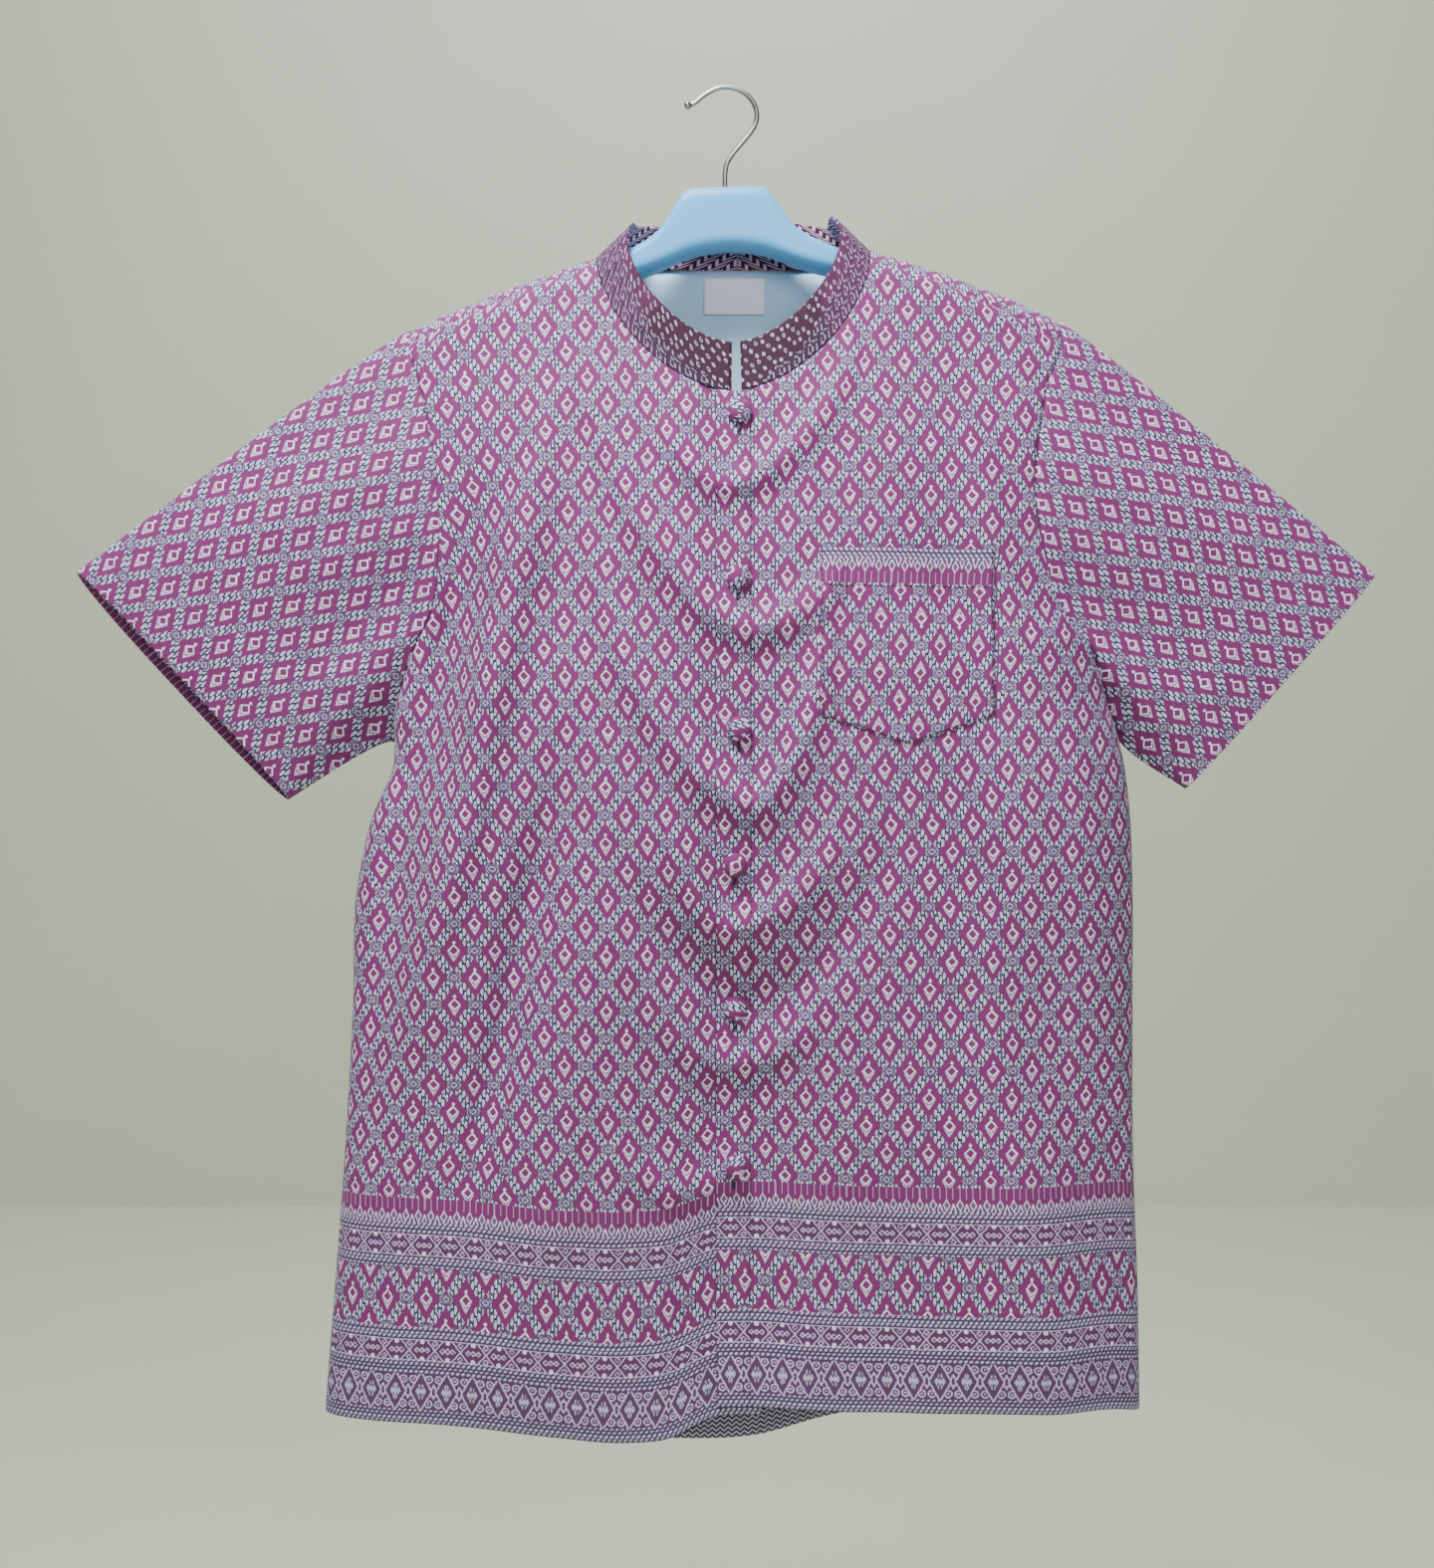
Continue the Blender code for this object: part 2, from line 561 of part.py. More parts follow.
def in_plane(edge, face):
    """The direction in a face that leads away from one of its edges."""
    a, b = (v.co for v in edge.verts)
    along = (b - a).normalized()
    away = face.calc_center_median() - (a + b) / 2
    away -= along * away.dot(along)
    away -= face.normal * away.dot(face.normal)
    return away.normalized()


def pulls(bm):
    """How each point on a free edge moves in, so that pieces stay a seam gap apart."""
    moves = {}
    for vert in bm.verts:
        ways = [in_plane(e, e.link_faces[0]) for e in vert.link_edges if e.is_boundary]
        if not ways:
            continue
        total = sum(ways, Vector())
        spread = 1 + ways[0].dot(ways[-1])
        moves[vert.index] = total * (SEAM_GAP / 2) / max(spread, 0.5) if len(ways) > 1 else Vector()
    return moves


def make_walls(sheets, walls, outward):
    """Gives every sheet its thickness inwards, with the same slant on both sides of each seam."""
    opened = {}
    seams = {}
    for name, mesh in sheets.items():
        bm = bmesh.new()
        bm.from_mesh(mesh)
        face_outward(bm, outward[name])
        bm.verts.index_update()
        opened[name] = bm
        for vert in bm.verts:
            if vert.is_boundary:
                seams.setdefault(key_of(vert.co), []).append(vert.normal.copy())
    for name, bm in opened.items():
        moves = pulls(bm)
        keys = [key_of(vert.co) for vert in bm.verts]
        shifts = []
        for vert in bm.verts:
            meeting = seams[key_of(vert.co)] if vert.is_boundary else [vert.normal.copy()]
            joined = sum(meeting, Vector()).normalized()
            slant = sum(joined.dot(normal) for normal in meeting) / len(meeting)
            shifts.append(-joined * walls[name] / max(slant, LEAST_SLANT))
        outer = [vert.co + moves.get(vert.index, Vector()) for vert in bm.verts]
        inner = [place + shift for place, shift in zip(outer, shifts)]
        for vert, place in zip(bm.verts, outer):
            vert.co = place
        grown = bmesh.ops.extrude_face_region(bm, geom=bm.faces[:], use_keep_orig=True)["geom"]
        fresh = [item for item in grown if isinstance(item, bmesh.types.BMVert)]
        nearest = {key_fine(place): i for i, place in enumerate(outer)}
        partner = {vert: nearest[key_fine(vert.co)] for vert in fresh}
        for vert, i in partner.items():
            vert.co = inner[i]
        split_rims(bm, partner, keys)
        bmesh.ops.recalc_face_normals(bm, faces=bm.faces[:])
        finish(name, bm)
        bm.free()


def split_rims(bm, partner, keys):
    """Cuts each face of the rim along the diagonal that the neighbouring piece's rim also takes."""
    for face in bm.faces[:]:
        inner = [vert for vert in face.verts if vert in partner]
        outer = [vert for vert in face.verts if vert not in partner]
        if len(inner) != 2 or len(outer) != 2:
            continue
        first = min(outer, key=lambda vert: keys[vert.index])
        far = next(vert for vert in inner if partner[vert] != first.index)
        bmesh.utils.face_split(face, first, far)


def key_fine(co):
    return tuple(round(c * 10000) for c in co)


def material(look):
    made = bpy.data.materials.get(look)
    if made:
        return made
    colour, roughness, metallic = LOOKS[look]
    made = bpy.data.materials.new(look)
    made.use_nodes = True
    shader = made.node_tree.nodes["Principled BSDF"]
    shader.inputs["Base Color"].default_value = (*colour, 1.0)
    shader.inputs["Roughness"].default_value = roughness
    shader.inputs["Metallic"].default_value = metallic
    return made


LOOK_OF = {"collar": "collar", "neck_label": "label", "hanger": "hanger", "hanger_hook": "hook"}


def finish(name, bm):
    """Makes the object of a piece from its mesh in millimetres, facing out and shaded smooth."""
    if bm.calc_volume(signed=True) < 0:
        bmesh.ops.reverse_faces(bm, faces=bm.faces[:])
    bmesh.ops.scale(bm, vec=(MM, MM, MM), verts=bm.verts[:])
    for face in bm.faces:
        face.smooth = True
    mesh = bpy.data.meshes.new(name)
    bm.to_mesh(mesh)
    mesh.set_sharp_from_angle(angle=math.radians(50))
    look = "button" if name.startswith("button") else LOOK_OF.get(name, "cloth")
    mesh.materials.append(material(look))
    obj = bpy.data.objects.new(name, mesh)
    bpy.context.scene.collection.objects.link(obj)
    return obj


def tree_of(name):
    bm = bmesh.new()
    bm.from_mesh(bpy.data.objects[name].data)
    bmesh.ops.scale(bm, vec=(1 / MM, 1 / MM, 1 / MM), verts=bm.verts[:])
    tree = BVHTree.FromBMesh(bm)
    bm.free()
    return tree


def on_cloth(tree, x, z, from_y):
    """The first cloth that a line along +Y meets, and its normal."""
    place, normal, _, _ = tree.ray_cast(Vector((x, from_y, z)), Vector((0, 1, 0)))
    return place, normal if normal.y < 0 else -normal


def pocket_surface(tree):
    """The patch pocket, laid on the panel's own face and lifted clear of it."""
    lift = CLOTH_WALL + LAYER_GAP
    rows = []
    for v in np.linspace(0, 1, POCKET_ROWS + 1):
        row = []
        for x in np.linspace(POCKET_LEFT, POCKET_RIGHT, POCKET_COLUMNS + 1):
            middle = (POCKET_LEFT + POCKET_RIGHT) / 2
            share = 1 - abs(x - middle) / (middle - POCKET_LEFT)
            low = POCKET_CORNER + (POCKET_POINT - POCKET_CORNER) * share
            z = POCKET_TOP + (low - POCKET_TOP) * v
            place, normal = on_cloth(tree, x, z, -200.0)
            row.append(place + normal * lift)
        rows.append(row)
    return np.array(rows)


def label_surface(tree):
    rows = []
    for z in np.linspace(LABEL_TOP, LABEL_BOTTOM, 4):
        row = []
        for x in np.linspace(LABEL_LEFT, LABEL_RIGHT, 5):
            place, normal = on_cloth(tree, x, z, 0.0)
            row.append(place + normal * (LAYER_GAP + LABEL_WALL))
        rows.append(row)
    return np.array(rows)


def build_button(number, x, z, tree):
    """A covered dome button, turned about its own axis and set square to the cloth."""
    place, normal = on_cloth(tree, x, z, -200.0)
    bm = bmesh.new()
    profile = [bm.verts.new((radius, 0.0, height)) for radius, height in BUTTON_PROFILE]
    edges = [bm.edges.new(pair) for pair in zip(profile, profile[1:])]
    bmesh.ops.spin(
        bm, geom=profile + edges, cent=(0, 0, 0), axis=(0, 0, 1), angle=2 * math.pi,
        steps=BUTTON_SIDES, use_merge=True,
    )
    bmesh.ops.remove_doubles(bm, verts=bm.verts[:], dist=0.001)
    rims = [edge for edge in bm.edges if edge.is_boundary]
    for height, tip in ((BUTTON_PROFILE[0][1], 0.0), (BUTTON_PROFILE[-1][1], BUTTON_TOP)):
        rim = [edge for edge in rims if abs(edge.verts[0].co.z - height) < 0.01]
        cap = bmesh.ops.edgeloop_fill(bm, edges=rim)["faces"]
        poked = bmesh.ops.poke(bm, faces=cap)["verts"]
        for vert in poked:
            vert.co.z = tip
    bmesh.ops.recalc_face_normals(bm, faces=bm.faces[:])
    turn = Vector((0, 0, 1)).rotation_difference(normal).to_matrix().to_4x4()
    bmesh.ops.transform(bm, matrix=Matrix.Translation(place + normal * LAYER_GAP) @ turn, verts=bm.verts[:])
    finish("button_%d" % number, bm)
    bm.free()


def bridged(rings):
    """A closed body through rings of points, capped at both ends."""
    bm = bmesh.new()
    loops = []
    for ring in rings:
        verts = [bm.verts.new(point) for point in ring]
        loops.append([bm.edges.new((a, b)) for a, b in zip(verts, verts[1:] + verts[:1])])
    for one, other in zip(loops, loops[1:]):
        bmesh.ops.bridge_loops(bm, edges=one + other)
    for loop in (loops[0], loops[-1]):
        bmesh.ops.edgeloop_fill(bm, edges=loop)
    bmesh.ops.recalc_face_normals(bm, faces=bm.faces[:])
    return bm


def build_hanger():
    """The moulded hanger: sections along its arms, tilted a little as it hangs."""
    half = [(-x, *rest) for x, *rest in HANGER_STATIONS[:0:-1]]
    rings = []
    for x, top, under, thick, square in half + [tuple(row) for row in HANGER_STATIONS]:
        ring = []
        for k in range(HANGER_SIDES):
            angle = 2 * math.pi * (k + 0.5) / HANGER_SIDES
            c, s = math.cos(angle), math.sin(angle)
            y = thick * math.copysign(abs(c) ** (2 / square), c)
            z = (top + under) / 2 + (top - under) / 2 * math.copysign(abs(s) ** (2 / square), s)
            ring.append((x, y, z))
        rings.append(ring)
    bm = bridged(rings)
    pivot = Vector((0, 0, HANGER_PIVOT_Z))
    turn = Matrix.Translation(pivot) @ Matrix.Rotation(-HANGER_TILT, 4, "Y") @ Matrix.Translation(-pivot)
    bmesh.ops.transform(bm, matrix=turn, verts=bm.verts[:])
    hanger = finish("hanger", bm)
    bm.free()
    socket = bmesh.new()
    bmesh.ops.create_cone(
        socket, cap_ends=True, segments=16, radius1=STEM_SOCKET_RADIUS * MM, radius2=STEM_SOCKET_RADIUS * MM,
        depth=2 * STEM_SOCKET_DEPTH * MM, matrix=Matrix.Translation((0, 0, HANGER_PIVOT_Z * MM)),
    )
    mesh = bpy.data.meshes.new("stem_socket")
    socket.to_mesh(mesh)
    socket.free()
    cutter = bpy.data.objects.new("stem_socket", mesh)
    cutter.hide_render = True
    cutter.display_type = "WIRE"
    bpy.context.scene.collection.objects.link(cutter)
    cut = hanger.modifiers.new("stem socket", "BOOLEAN")
    cut.operation = "DIFFERENCE"
    cut.solver = "EXACT"
    cut.object = cutter


def build_hook():
    """The wire hook, swept along its bend with a ball on its tip."""
    path = [Vector((x, 0.0, z)) for x, z in HOOK]
    rings = []
    for i, place in enumerate(path):
        ahead = path[min(i + 1, len(path) - 1)] - path[max(i - 1, 0)]
        along = ahead.normalized()
        across = Vector((along.z, 0, -along.x))
        radius = HOOK_BALL[i] if i < len(HOOK_BALL) else WIRE_RADIUS
        ring = []
        for k in range(WIRE_SIDES):
            angle = 2 * math.pi * k / WIRE_SIDES
            ring.append(place + across * (radius * math.cos(angle)) + Vector((0, radius * math.sin(angle), 0)))
        rings.append(ring)
    bm = bridged(rings)
    finish("hanger_hook", bm)
    bm.free()


def collar_base(left_grid, shoulders, back):
    """The neck edge from one end of the collar round the back to the other."""
    lap = len(OVERLAP_X)
    shoulder_columns = (BACK_COLUMNS - BACK_NECK_COLUMNS) // 2
    right = front_top(VIEWER_LEFT, OVERLAP_X[0])[: NECK_COLUMNS + 1]
    right = with_depth(FRONT, right[None])[0]
    left = left_grid[-1][lap - 2 : lap + NECK_COLUMNS]
    start = left_grid[-1][1:2]
    behind = back[-1][shoulder_columns : shoulder_columns + BACK_NECK_COLUMNS + 1]
    round_right = shoulders[VIEWER_LEFT][::-1, 0]
    round_left = shoulders[VIEWER_RIGHT][:, 0]
    parts = [start, right[:-1], round_right[:-1], behind[:-1], round_left[:-1], left[::-1]]
    return np.vstack(parts)


def arm_ring(side, front, shoulder, back):
    """The armhole's ring from the armpit up the front, over the shoulder and down the back."""
    over = shoulder[::-1, -1]
    column_of_back = -1 if side > 0 else 0
    up = front[ROWS_BELOW_ARMPIT:, -1]
    down = back[ROWS_BELOW_ARMPIT:, column_of_back][::-1]
    return np.vstack([up[:-1], over[:-1], down])


def build_cloth():
    right = front_grid(VIEWER_LEFT, RIGHT_HEM)
    left = front_grid(VIEWER_RIGHT, LEFT_HEM)
    back = back_grid()
    shoulders = {side: shoulder_grid(side) for side in (VIEWER_LEFT, VIEWER_RIGHT)}
    rings = {
        VIEWER_LEFT: arm_ring(VIEWER_LEFT, right, shoulders[VIEWER_LEFT], back),
        VIEWER_RIGHT: arm_ring(VIEWER_RIGHT, left, shoulders[VIEWER_RIGHT], back),
    }
    ridge_index = ROWS_ABOVE_ARMPIT + 2
    sheets = {
        "front_right": surface("front_right", [right]),
        "front_left": surface("front_left", [left]),
        "back": surface("back", [back, *shoulders.values()]),
        "sleeve_right": surface("sleeve_right", [sleeve_grid(VIEWER_LEFT, rings[VIEWER_LEFT], ridge_index)]),
        "sleeve_left": surface("sleeve_left", [sleeve_grid(VIEWER_RIGHT, rings[VIEWER_RIGHT], ridge_index)]),
        "collar": surface("collar", [collar_grid(collar_base(left, shoulders, back))]),
    }
    walls = {name: COLLAR_WALL if name == "collar" else CLOTH_WALL for name in sheets}

    def from_plane(place):
        return Vector((0, place.y, 0))

    def from_neck(place):
        return Vector((place.x - BODY_MIDDLE_X, place.y + 8, 0))

    outward = {name: from_plane for name in sheets}
    outward["collar"] = from_neck
    make_walls(sheets, walls, outward)


def build_applied():
    """What is laid on the panels: the pocket, the label and the buttons."""
    front = tree_of("front_left")
    back = tree_of("back")

    def to_viewer(place):
        return Vector((0, -1, 0))

    sheets = {
        "pocket": surface("pocket", [pocket_surface(front)]),
        "neck_label": surface("neck_label", [label_surface(back)]),
    }
    walls = {"pocket": CLOTH_WALL, "neck_label": LABEL_WALL}
    make_walls(sheets, walls, {name: to_viewer for name in sheets})
    for number, (x, z) in enumerate(BUTTONS, 1):
        build_button(number, x, z, front)


def main():
    for obj in list(bpy.data.objects):
        bpy.data.objects.remove(obj, do_unlink=True)
    build_cloth()
    build_applied()
    build_hanger()
    build_hook()


main()
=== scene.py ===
"""Mandarin collar shirt of woven brocade on its coat hanger.

X runs to the viewer's right, Y away from the viewer and Z up, from the inner crown of the hook.
The tables and sizes are in millimetres and the meshes in metres. Left and right in a piece's name
are the wearer's, so left_front lies on the viewer's right and buttons over right_front.
"""

import ast
import math

import bmesh
import bpy
import numpy as np
from mathutils import Matrix, Vector
from mathutils.bvhtree import BVHTree


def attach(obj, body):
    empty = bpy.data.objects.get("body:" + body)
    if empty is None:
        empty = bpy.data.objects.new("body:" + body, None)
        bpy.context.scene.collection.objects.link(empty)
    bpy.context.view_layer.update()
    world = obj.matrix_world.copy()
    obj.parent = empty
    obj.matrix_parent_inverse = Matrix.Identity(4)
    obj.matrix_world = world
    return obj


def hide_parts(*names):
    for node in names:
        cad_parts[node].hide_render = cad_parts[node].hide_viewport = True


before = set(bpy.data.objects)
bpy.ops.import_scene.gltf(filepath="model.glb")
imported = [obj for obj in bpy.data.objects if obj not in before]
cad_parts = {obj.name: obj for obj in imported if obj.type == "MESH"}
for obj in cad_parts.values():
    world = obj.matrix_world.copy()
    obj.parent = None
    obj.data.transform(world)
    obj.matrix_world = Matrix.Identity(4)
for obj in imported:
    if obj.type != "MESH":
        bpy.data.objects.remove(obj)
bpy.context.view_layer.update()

bl_info = {
    "name": "Mandarin Collar Shirt",
    "version": (1, 0, 0),
    "blender": (4, 5, 0),
    "location": "View3D > Sidebar > Shirt",
    "description": "Models a brocade shirt with a mandarin collar on a moulded coat hanger",
    "category": "Add Mesh",
}

MM = 0.001

FRONT = -1.0
BACK = 1.0
VIEWER_LEFT = -1.0
VIEWER_RIGHT = 1.0
SIDES = (VIEWER_LEFT, VIEWER_RIGHT)

BODY_MIDDLE_X = 5.0
SHOULDER_ROUND = 22.0
SECTION_POWER = 2.7

# A row per section of the body, from the hem to the shoulder point. The depths are how far the cloth
# stands in front of the hanger's plane and behind it, at the side edge and in the middle. Roundness
# is how fully the section turns the corner at its edge.
SECTION_COLUMNS = (
    "left_z", "left_x", "right_z", "right_x",
    "front_edge", "back_edge", "front_middle", "back_middle", "roundness",
)
SECTIONS = (
    (-870, -254.0, -870, 262.0, 0, 0, 42, 46, 2.7),
    (-833, -252.0, -832, 261.5, 0, 0, 45, 46, 2.7),
    (-755, -246.0, -755, 260.3, 0, 0, 49, 45, 2.7),
    (-675, -240.0, -675, 257.3, 0, 0, 54, 44, 2.7),
    (-575, -234.3, -575, 256.8, 0, 0, 59, 43, 2.7),
    (-505, -231.8, -500, 256.6, 0, 0, 63, 42, 2.7),
    (-457, -221.1, -457, 254.8, 0, 0, 65, 41, 2.7),
    (-428, -209.0, -426, 251.0, 0, 0, 66, 40, 2.7),
    (-414.5, -207.9, -406.3, 246.4, 0, 0, 66, 40, 2.7),
    (-397, -207.8, -389, 240.0, 9, 9, 66, 39, 2.2),
    (-376, -200.5, -366, 231.8, 20, 16, 66, 39, 1.7),
    (-354, -191.8, -350, 223.8, 29, 22, 65, 38, 1.3),
    (-336, -181.9, -334, 210.3, 34, 25, 64, 38, 1.1),
    (-300, -175.8, -292, 195.2, 38, 28, 62, 37, 1.0),
    (-248, -179.0, -248, 190.5, 37, 28, 56, 36, 1.0),
    (-219, -183.2, -215, 195.0, 33, 26, 51, 34, 1.0),
    (-190, -190.2, -190, 200.2, 27, 23, 45, 33, 1.0),
    (-165.4, -197.7, -165.4, 210.1, 21, 20, 39, 32, 1.0),
    (-108, -199.0, -108, 212.0, 20, 20, 26, 30, 1.0),
)
ARMPIT_ROW = 8
SHOULDER_POINT_ROW = 17

# The fold line of the shoulders: across, height.
RIDGE = (
    (-232, -173.2), (-198, -153.7), (-147, -131.6), (-81, -107.1), (0, -76.0),
    (89.5, -102.1), (152, -122.9), (212.4, -149.5), (253, -180.2),
)

# A fold fades over this share of its length at each end, and towards the side edge by this power.
FOLD_FADE_SHARE = 0.4
EDGE_FADE_POWER = 6
# A row per fold: its way down the cloth by height and place across at the top, middle and end, its
# half width, and how far it stands out. A valley stands out by less than nothing.
FRONT_FOLDS = (
    (-215, -108, -330, -136, -470, -160, 17, 8),
    (-250, -160, -350, -166, -480, -190, 15, -9),
    (-400, -146, -520, -175, -680, -208, 18, 8),
    (-420, -182, -560, -212, -690, -234, 14, -9),
    (-430, -60, -640, -100, -900, -125, 34, 6),
    (-470, -12, -700, 10, -950, 10, 62, -22),
    (-560, 150, -720, 190, -930, 215, 36, 12),
    (-200, 150, -300, 172, -400, 205, 16, 6),
    (-230, 120, -330, 140, -470, 175, 20, -5),
    (-380, 215, -480, 222, -640, 236, 14, 5),
    (-640, 90, -760, 98, -920, 105, 26, -5),
)
# Creases of the front that are finer than the main folds, in the same columns.
FRONT_CREASES = (
    (-150, -100, -360, -136, -640, -198, 15, 11.0),
    (-225, -150, -400, -186, -580, -226, 11, -21.0),
    (-380, -92, -540, -124, -740, -166, 13, -13.0),
    (-150, 184, -270, 194, -400, 216, 12, 8.5),
    (-400, 170, -480, 192, -560, 204, 18, 4.0),
    (-500, 150, -565, 166, -640, 172, 17, 4.0),
    (-560, 232, -680, 244, -840, 250, 10, -4.0),
    (-190, -96, -250, -120, -330, -150, 7, 1.4),
    (-200, 60, -260, 50, -350, 30, 9, 1.0),
    (-300, -150, -360, -168, -440, -196, 7, 1.8),
    (-330, 188, -380, 205, -470, 226, 7, 1.8),
    (-430, -120, -520, -146, -640, -176, 9, 1.5),
    (-470, -195, -560, -214, -660, -228, 7, -1.6),
    (-500, 60, -600, 72, -740, 92, 11, 1.2),
    (-520, 190, -600, 206, -720, 226, 9, -1.3),
    (-560, -70, -680, -84, -830, -92, 10, -1.4),
    (-600, -30, -700, -36, -820, -34, 8, 1.5),
    (-640, 130, -740, 150, -860, 164, 12, 1.2),
    (-700, -190, -780, -204, -870, -212, 12, 1.6),
    (-700, 40, -780, 46, -870, 44, 12, 1.3),
)
# A row per swag that hangs across the front between two buttons: its lowest point across and in
# height, how far each arm reaches and rises, its half width, and how far it stands out.
SWAG_COLUMNS = (
    "middle_x", "bottom_z", "left_reach", "left_rise", "right_reach", "right_rise", "width", "height",
)
SWAGS = (
    (2, -258, 48, 46, 82, 84, 10, 7.0),
    (15, -346, 125, 215, 58, 32, 12, 8.5),
    (17, -452, 104, 150, 50, 96, 12, 9.5),
    (3, -528, 50, 96, 70, 54, 11, 8.0),
    (20, -570, 96, 84, 92, 108, 14, -6.0),
    (2, -612, 56, 48, 60, 32, 11, 5.5),
    (-26, -690, 44, 30, 46, 22, 12, 5.0),
)
SWAG_POWER = 1.8
SWAG_FADE_POWER = 3
BACK_FOLDS = (
    (-230, -70, -480, -96, -930, -120, 34, 11),
    (-300, 4, -560, 8, -960, 16, 30, -10),
    (-260, 86, -520, 110, -930, 132, 36, 10),
    (-420, -170, -620, -185, -930, -196, 26, -8),
    (-400, 176, -600, 190, -930, 206, 24, 7),
)
BACK_CREASES = (
    (-180, -120, -240, -100, -330, -84, 9, 1.6),
    (-190, 128, -250, 112, -350, 96, 10, 1.4),
    (-340, -150, -420, -160, -520, -176, 8, 1.5),
    (-330, 160, -410, 172, -520, 188, 8, -1.5),
    (-480, -30, -600, -26, -760, -20, 12, 1.4),
    (-520, 60, -640, 66, -800, 74, 12, 1.5),
    (-600, -140, -720, -146, -860, -150, 11, -1.4),
    (-640, 150, -740, 160, -860, 168, 11, 1.4),
)

# The lower edge of each panel: across, height.
RIGHT_HEM = ((-252, -833), (-150, -835), (-107, -839.5), (-60, -844), (-35, -842.5), (-8, -831.5), (22, -830))
LEFT_HEM = ((-8, -825), (100, -826), (200, -826), (245, -828), (261.5, -832))
BACK_HEM = ((-252, -833), (-100, -860), (-18, -867), (20, -864), (68, -852), (150, -840), (261.5, -832))

NECK_HALF_WIDTH = 86.0
NECK_TOP_Z = -108.3
NECK_DROP = 91.0
NECK_POWER = 1.7
NECK_MIDDLE_Y = -8.0
BACK_NECK_Z = -107.6
SHOULDER_SEAM_DROP = 8.0
BACK_SEAM_ANGLE = math.radians(50.0)
# The back neckline is looked for between the side of the neck and this far from its middle.
BACK_NECK_INNER = 30.0
BACK_NECK_STEPS = 4000
SETTLING_ROUNDS = 40
NECK_FINE_STEPS = 600

# Grid lines across the overlap of the fronts, from the free edge to the place where the even ones start.
OVERLAP_X = (-5.0, -4.4, -3.4, -1.5, 1.0, 4.0, 7.0, 10.0, 13.0, 14.8, 15.7, 16.6, 19.0, 22.0)
COLLAR_START_X = 4.0
COLLAR_END_X = 10.0
OVERLAP_BLEND = 14.0
UNDERLAP_DEPTH = 1.92
UNDERLAP_TOP_DROP = 1.3
# The line of topstitching down the overlap, which presses a shallow groove into the cloth.
PLACKET_X = 15.7
PLACKET_GROOVE_WIDTH = 0.8
PLACKET_GROOVE_SHARE = 0.6
PLACKET_TOP = -203.0
PLACKET_BOTTOM = -824.0
PLACKET_POINTS = 500

FRONT_COLUMNS = 94
NECK_COLUMNS = 48
BACK_COLUMNS = 176
BACK_NECK_COLUMNS = 84
SHOULDER_COLUMNS = (BACK_COLUMNS - BACK_NECK_COLUMNS) // 2
ROWS_BELOW_ARMPIT = 146
ROWS_ABOVE_ARMPIT = 84
SHOULDER_BACK_ROWS = 8
SHOULDER_FRONT_ROWS = 6

# The collar band, from the centre front round to the centre back: share of the way, how far its top
# leans in to the neck, how far back, and how far up.
COLLAR_RISE = (
    (0.0, 1, 10, 32), (0.22, 9, 7, 30), (0.42, 15, 7, 27), (0.58, 23, 7, 24),
    (0.70, 22, 2, 27), (0.85, 8, -1, 31), (1.0, 0, -1, 33),
)
COLLAR_ROWS = 18
# The collar's lean changes sides over this distance from the middle.
COLLAR_TURN = 6.0

# A row per sleeve: the hem's upper and lower corners, how far the front and back layers' hems swell
# along the sleeve, and how far the upper and under edges bow up.
SLEEVE_COLUMNS = ("top_x", "top_z", "under_x", "under_z", "front_swell", "back_swell", "top_bow", "under_bow")
SLEEVE_RIGHT = (-410.1, -305.5, -275.9, -449.2, -4.5, 6.0, 5.0, 5.5)
SLEEVE_LEFT = (411.0, -307.0, 291.0, -442.2, 0.5, 1.0, 4.5, -5.0)
SLEEVE_FRONT_DEPTH = 13.0
SLEEVE_BACK_DEPTH = 11.0
SLEEVE_POWER = 2.5
SLEEVE_ROWS = 78
# Folds of a sleeve: share round the front layer at the shoulder and at the hem, width, height.
SLEEVE_FOLDS = ((0.32, 0.30, 0.09, 5.0), (0.62, 0.55, 0.10, -5.0), (0.84, 0.80, 0.07, 4.0))
SLEEVE_CREASES = (
    (0.20, 0.26, 0.03, 1.0), (0.47, 0.42, 0.04, 1.2),
    (0.72, 0.66, 0.035, 1.3), (0.55, 0.66, 0.03, -1.0),
)
# Rows of the sleeve, as shares of its length: close together at the armhole seam and at the hem.
SLEEVE_SEAM_STEPS = (0.0, 0.002, 0.004, 0.007, 0.011, 0.016, 0.022)
SLEEVE_HEM_STEPS = (0.988, 0.993, 0.997, 1.0)
SLEEVE_SEAM_AT = 0.004
SLEEVE_SEAM_WIDTH = 0.005
# Where the folds of a sleeve have run out, as a share of its length.
SLEEVE_FOLD_END = 0.8
SLEEVE_FADE_POWER = 0.8

POCKET_LEFT = 56.7
POCKET_RIGHT = 164.1
POCKET_TOP = -296.4
POCKET_CORNER = -397.6
POCKET_POINT = -415.6
POCKET_COLUMNS = 60
POCKET_ROWS = 64
POCKET_BAND = 23.0
# How far the pocket stands off the front: in shares of the cloth's thickness at its seam, then at
# the end of its turned edge, and in its middle.
POCKET_OFF = 1.1
POCKET_EDGE_LIFT = 0.7
POCKET_EDGE = 2.5
POCKET_PUFF = 0.9
POCKET_PUFF_REACH = 14.0
POCKET_STITCH_INSET = 1.6
POCKET_STITCH_POINTS = 240

LABEL_LEFT = -13.4
LABEL_RIGHT = 25.9
LABEL_TOP = -112.5
LABEL_BOTTOM = -136.2
LABEL_COLUMNS = 33
LABEL_ROWS = 21
# The label stands off the back at its top, and hangs farther off it at its lower edge.
LABEL_GAP = 0.9
LABEL_HANG = 1.2

BUTTONS = ((8.8, -212.7), (7.6, -314.5), (8.2, -406.0), (5.8, -488.0), (5.9, -577.0), (5.4, -675.0))
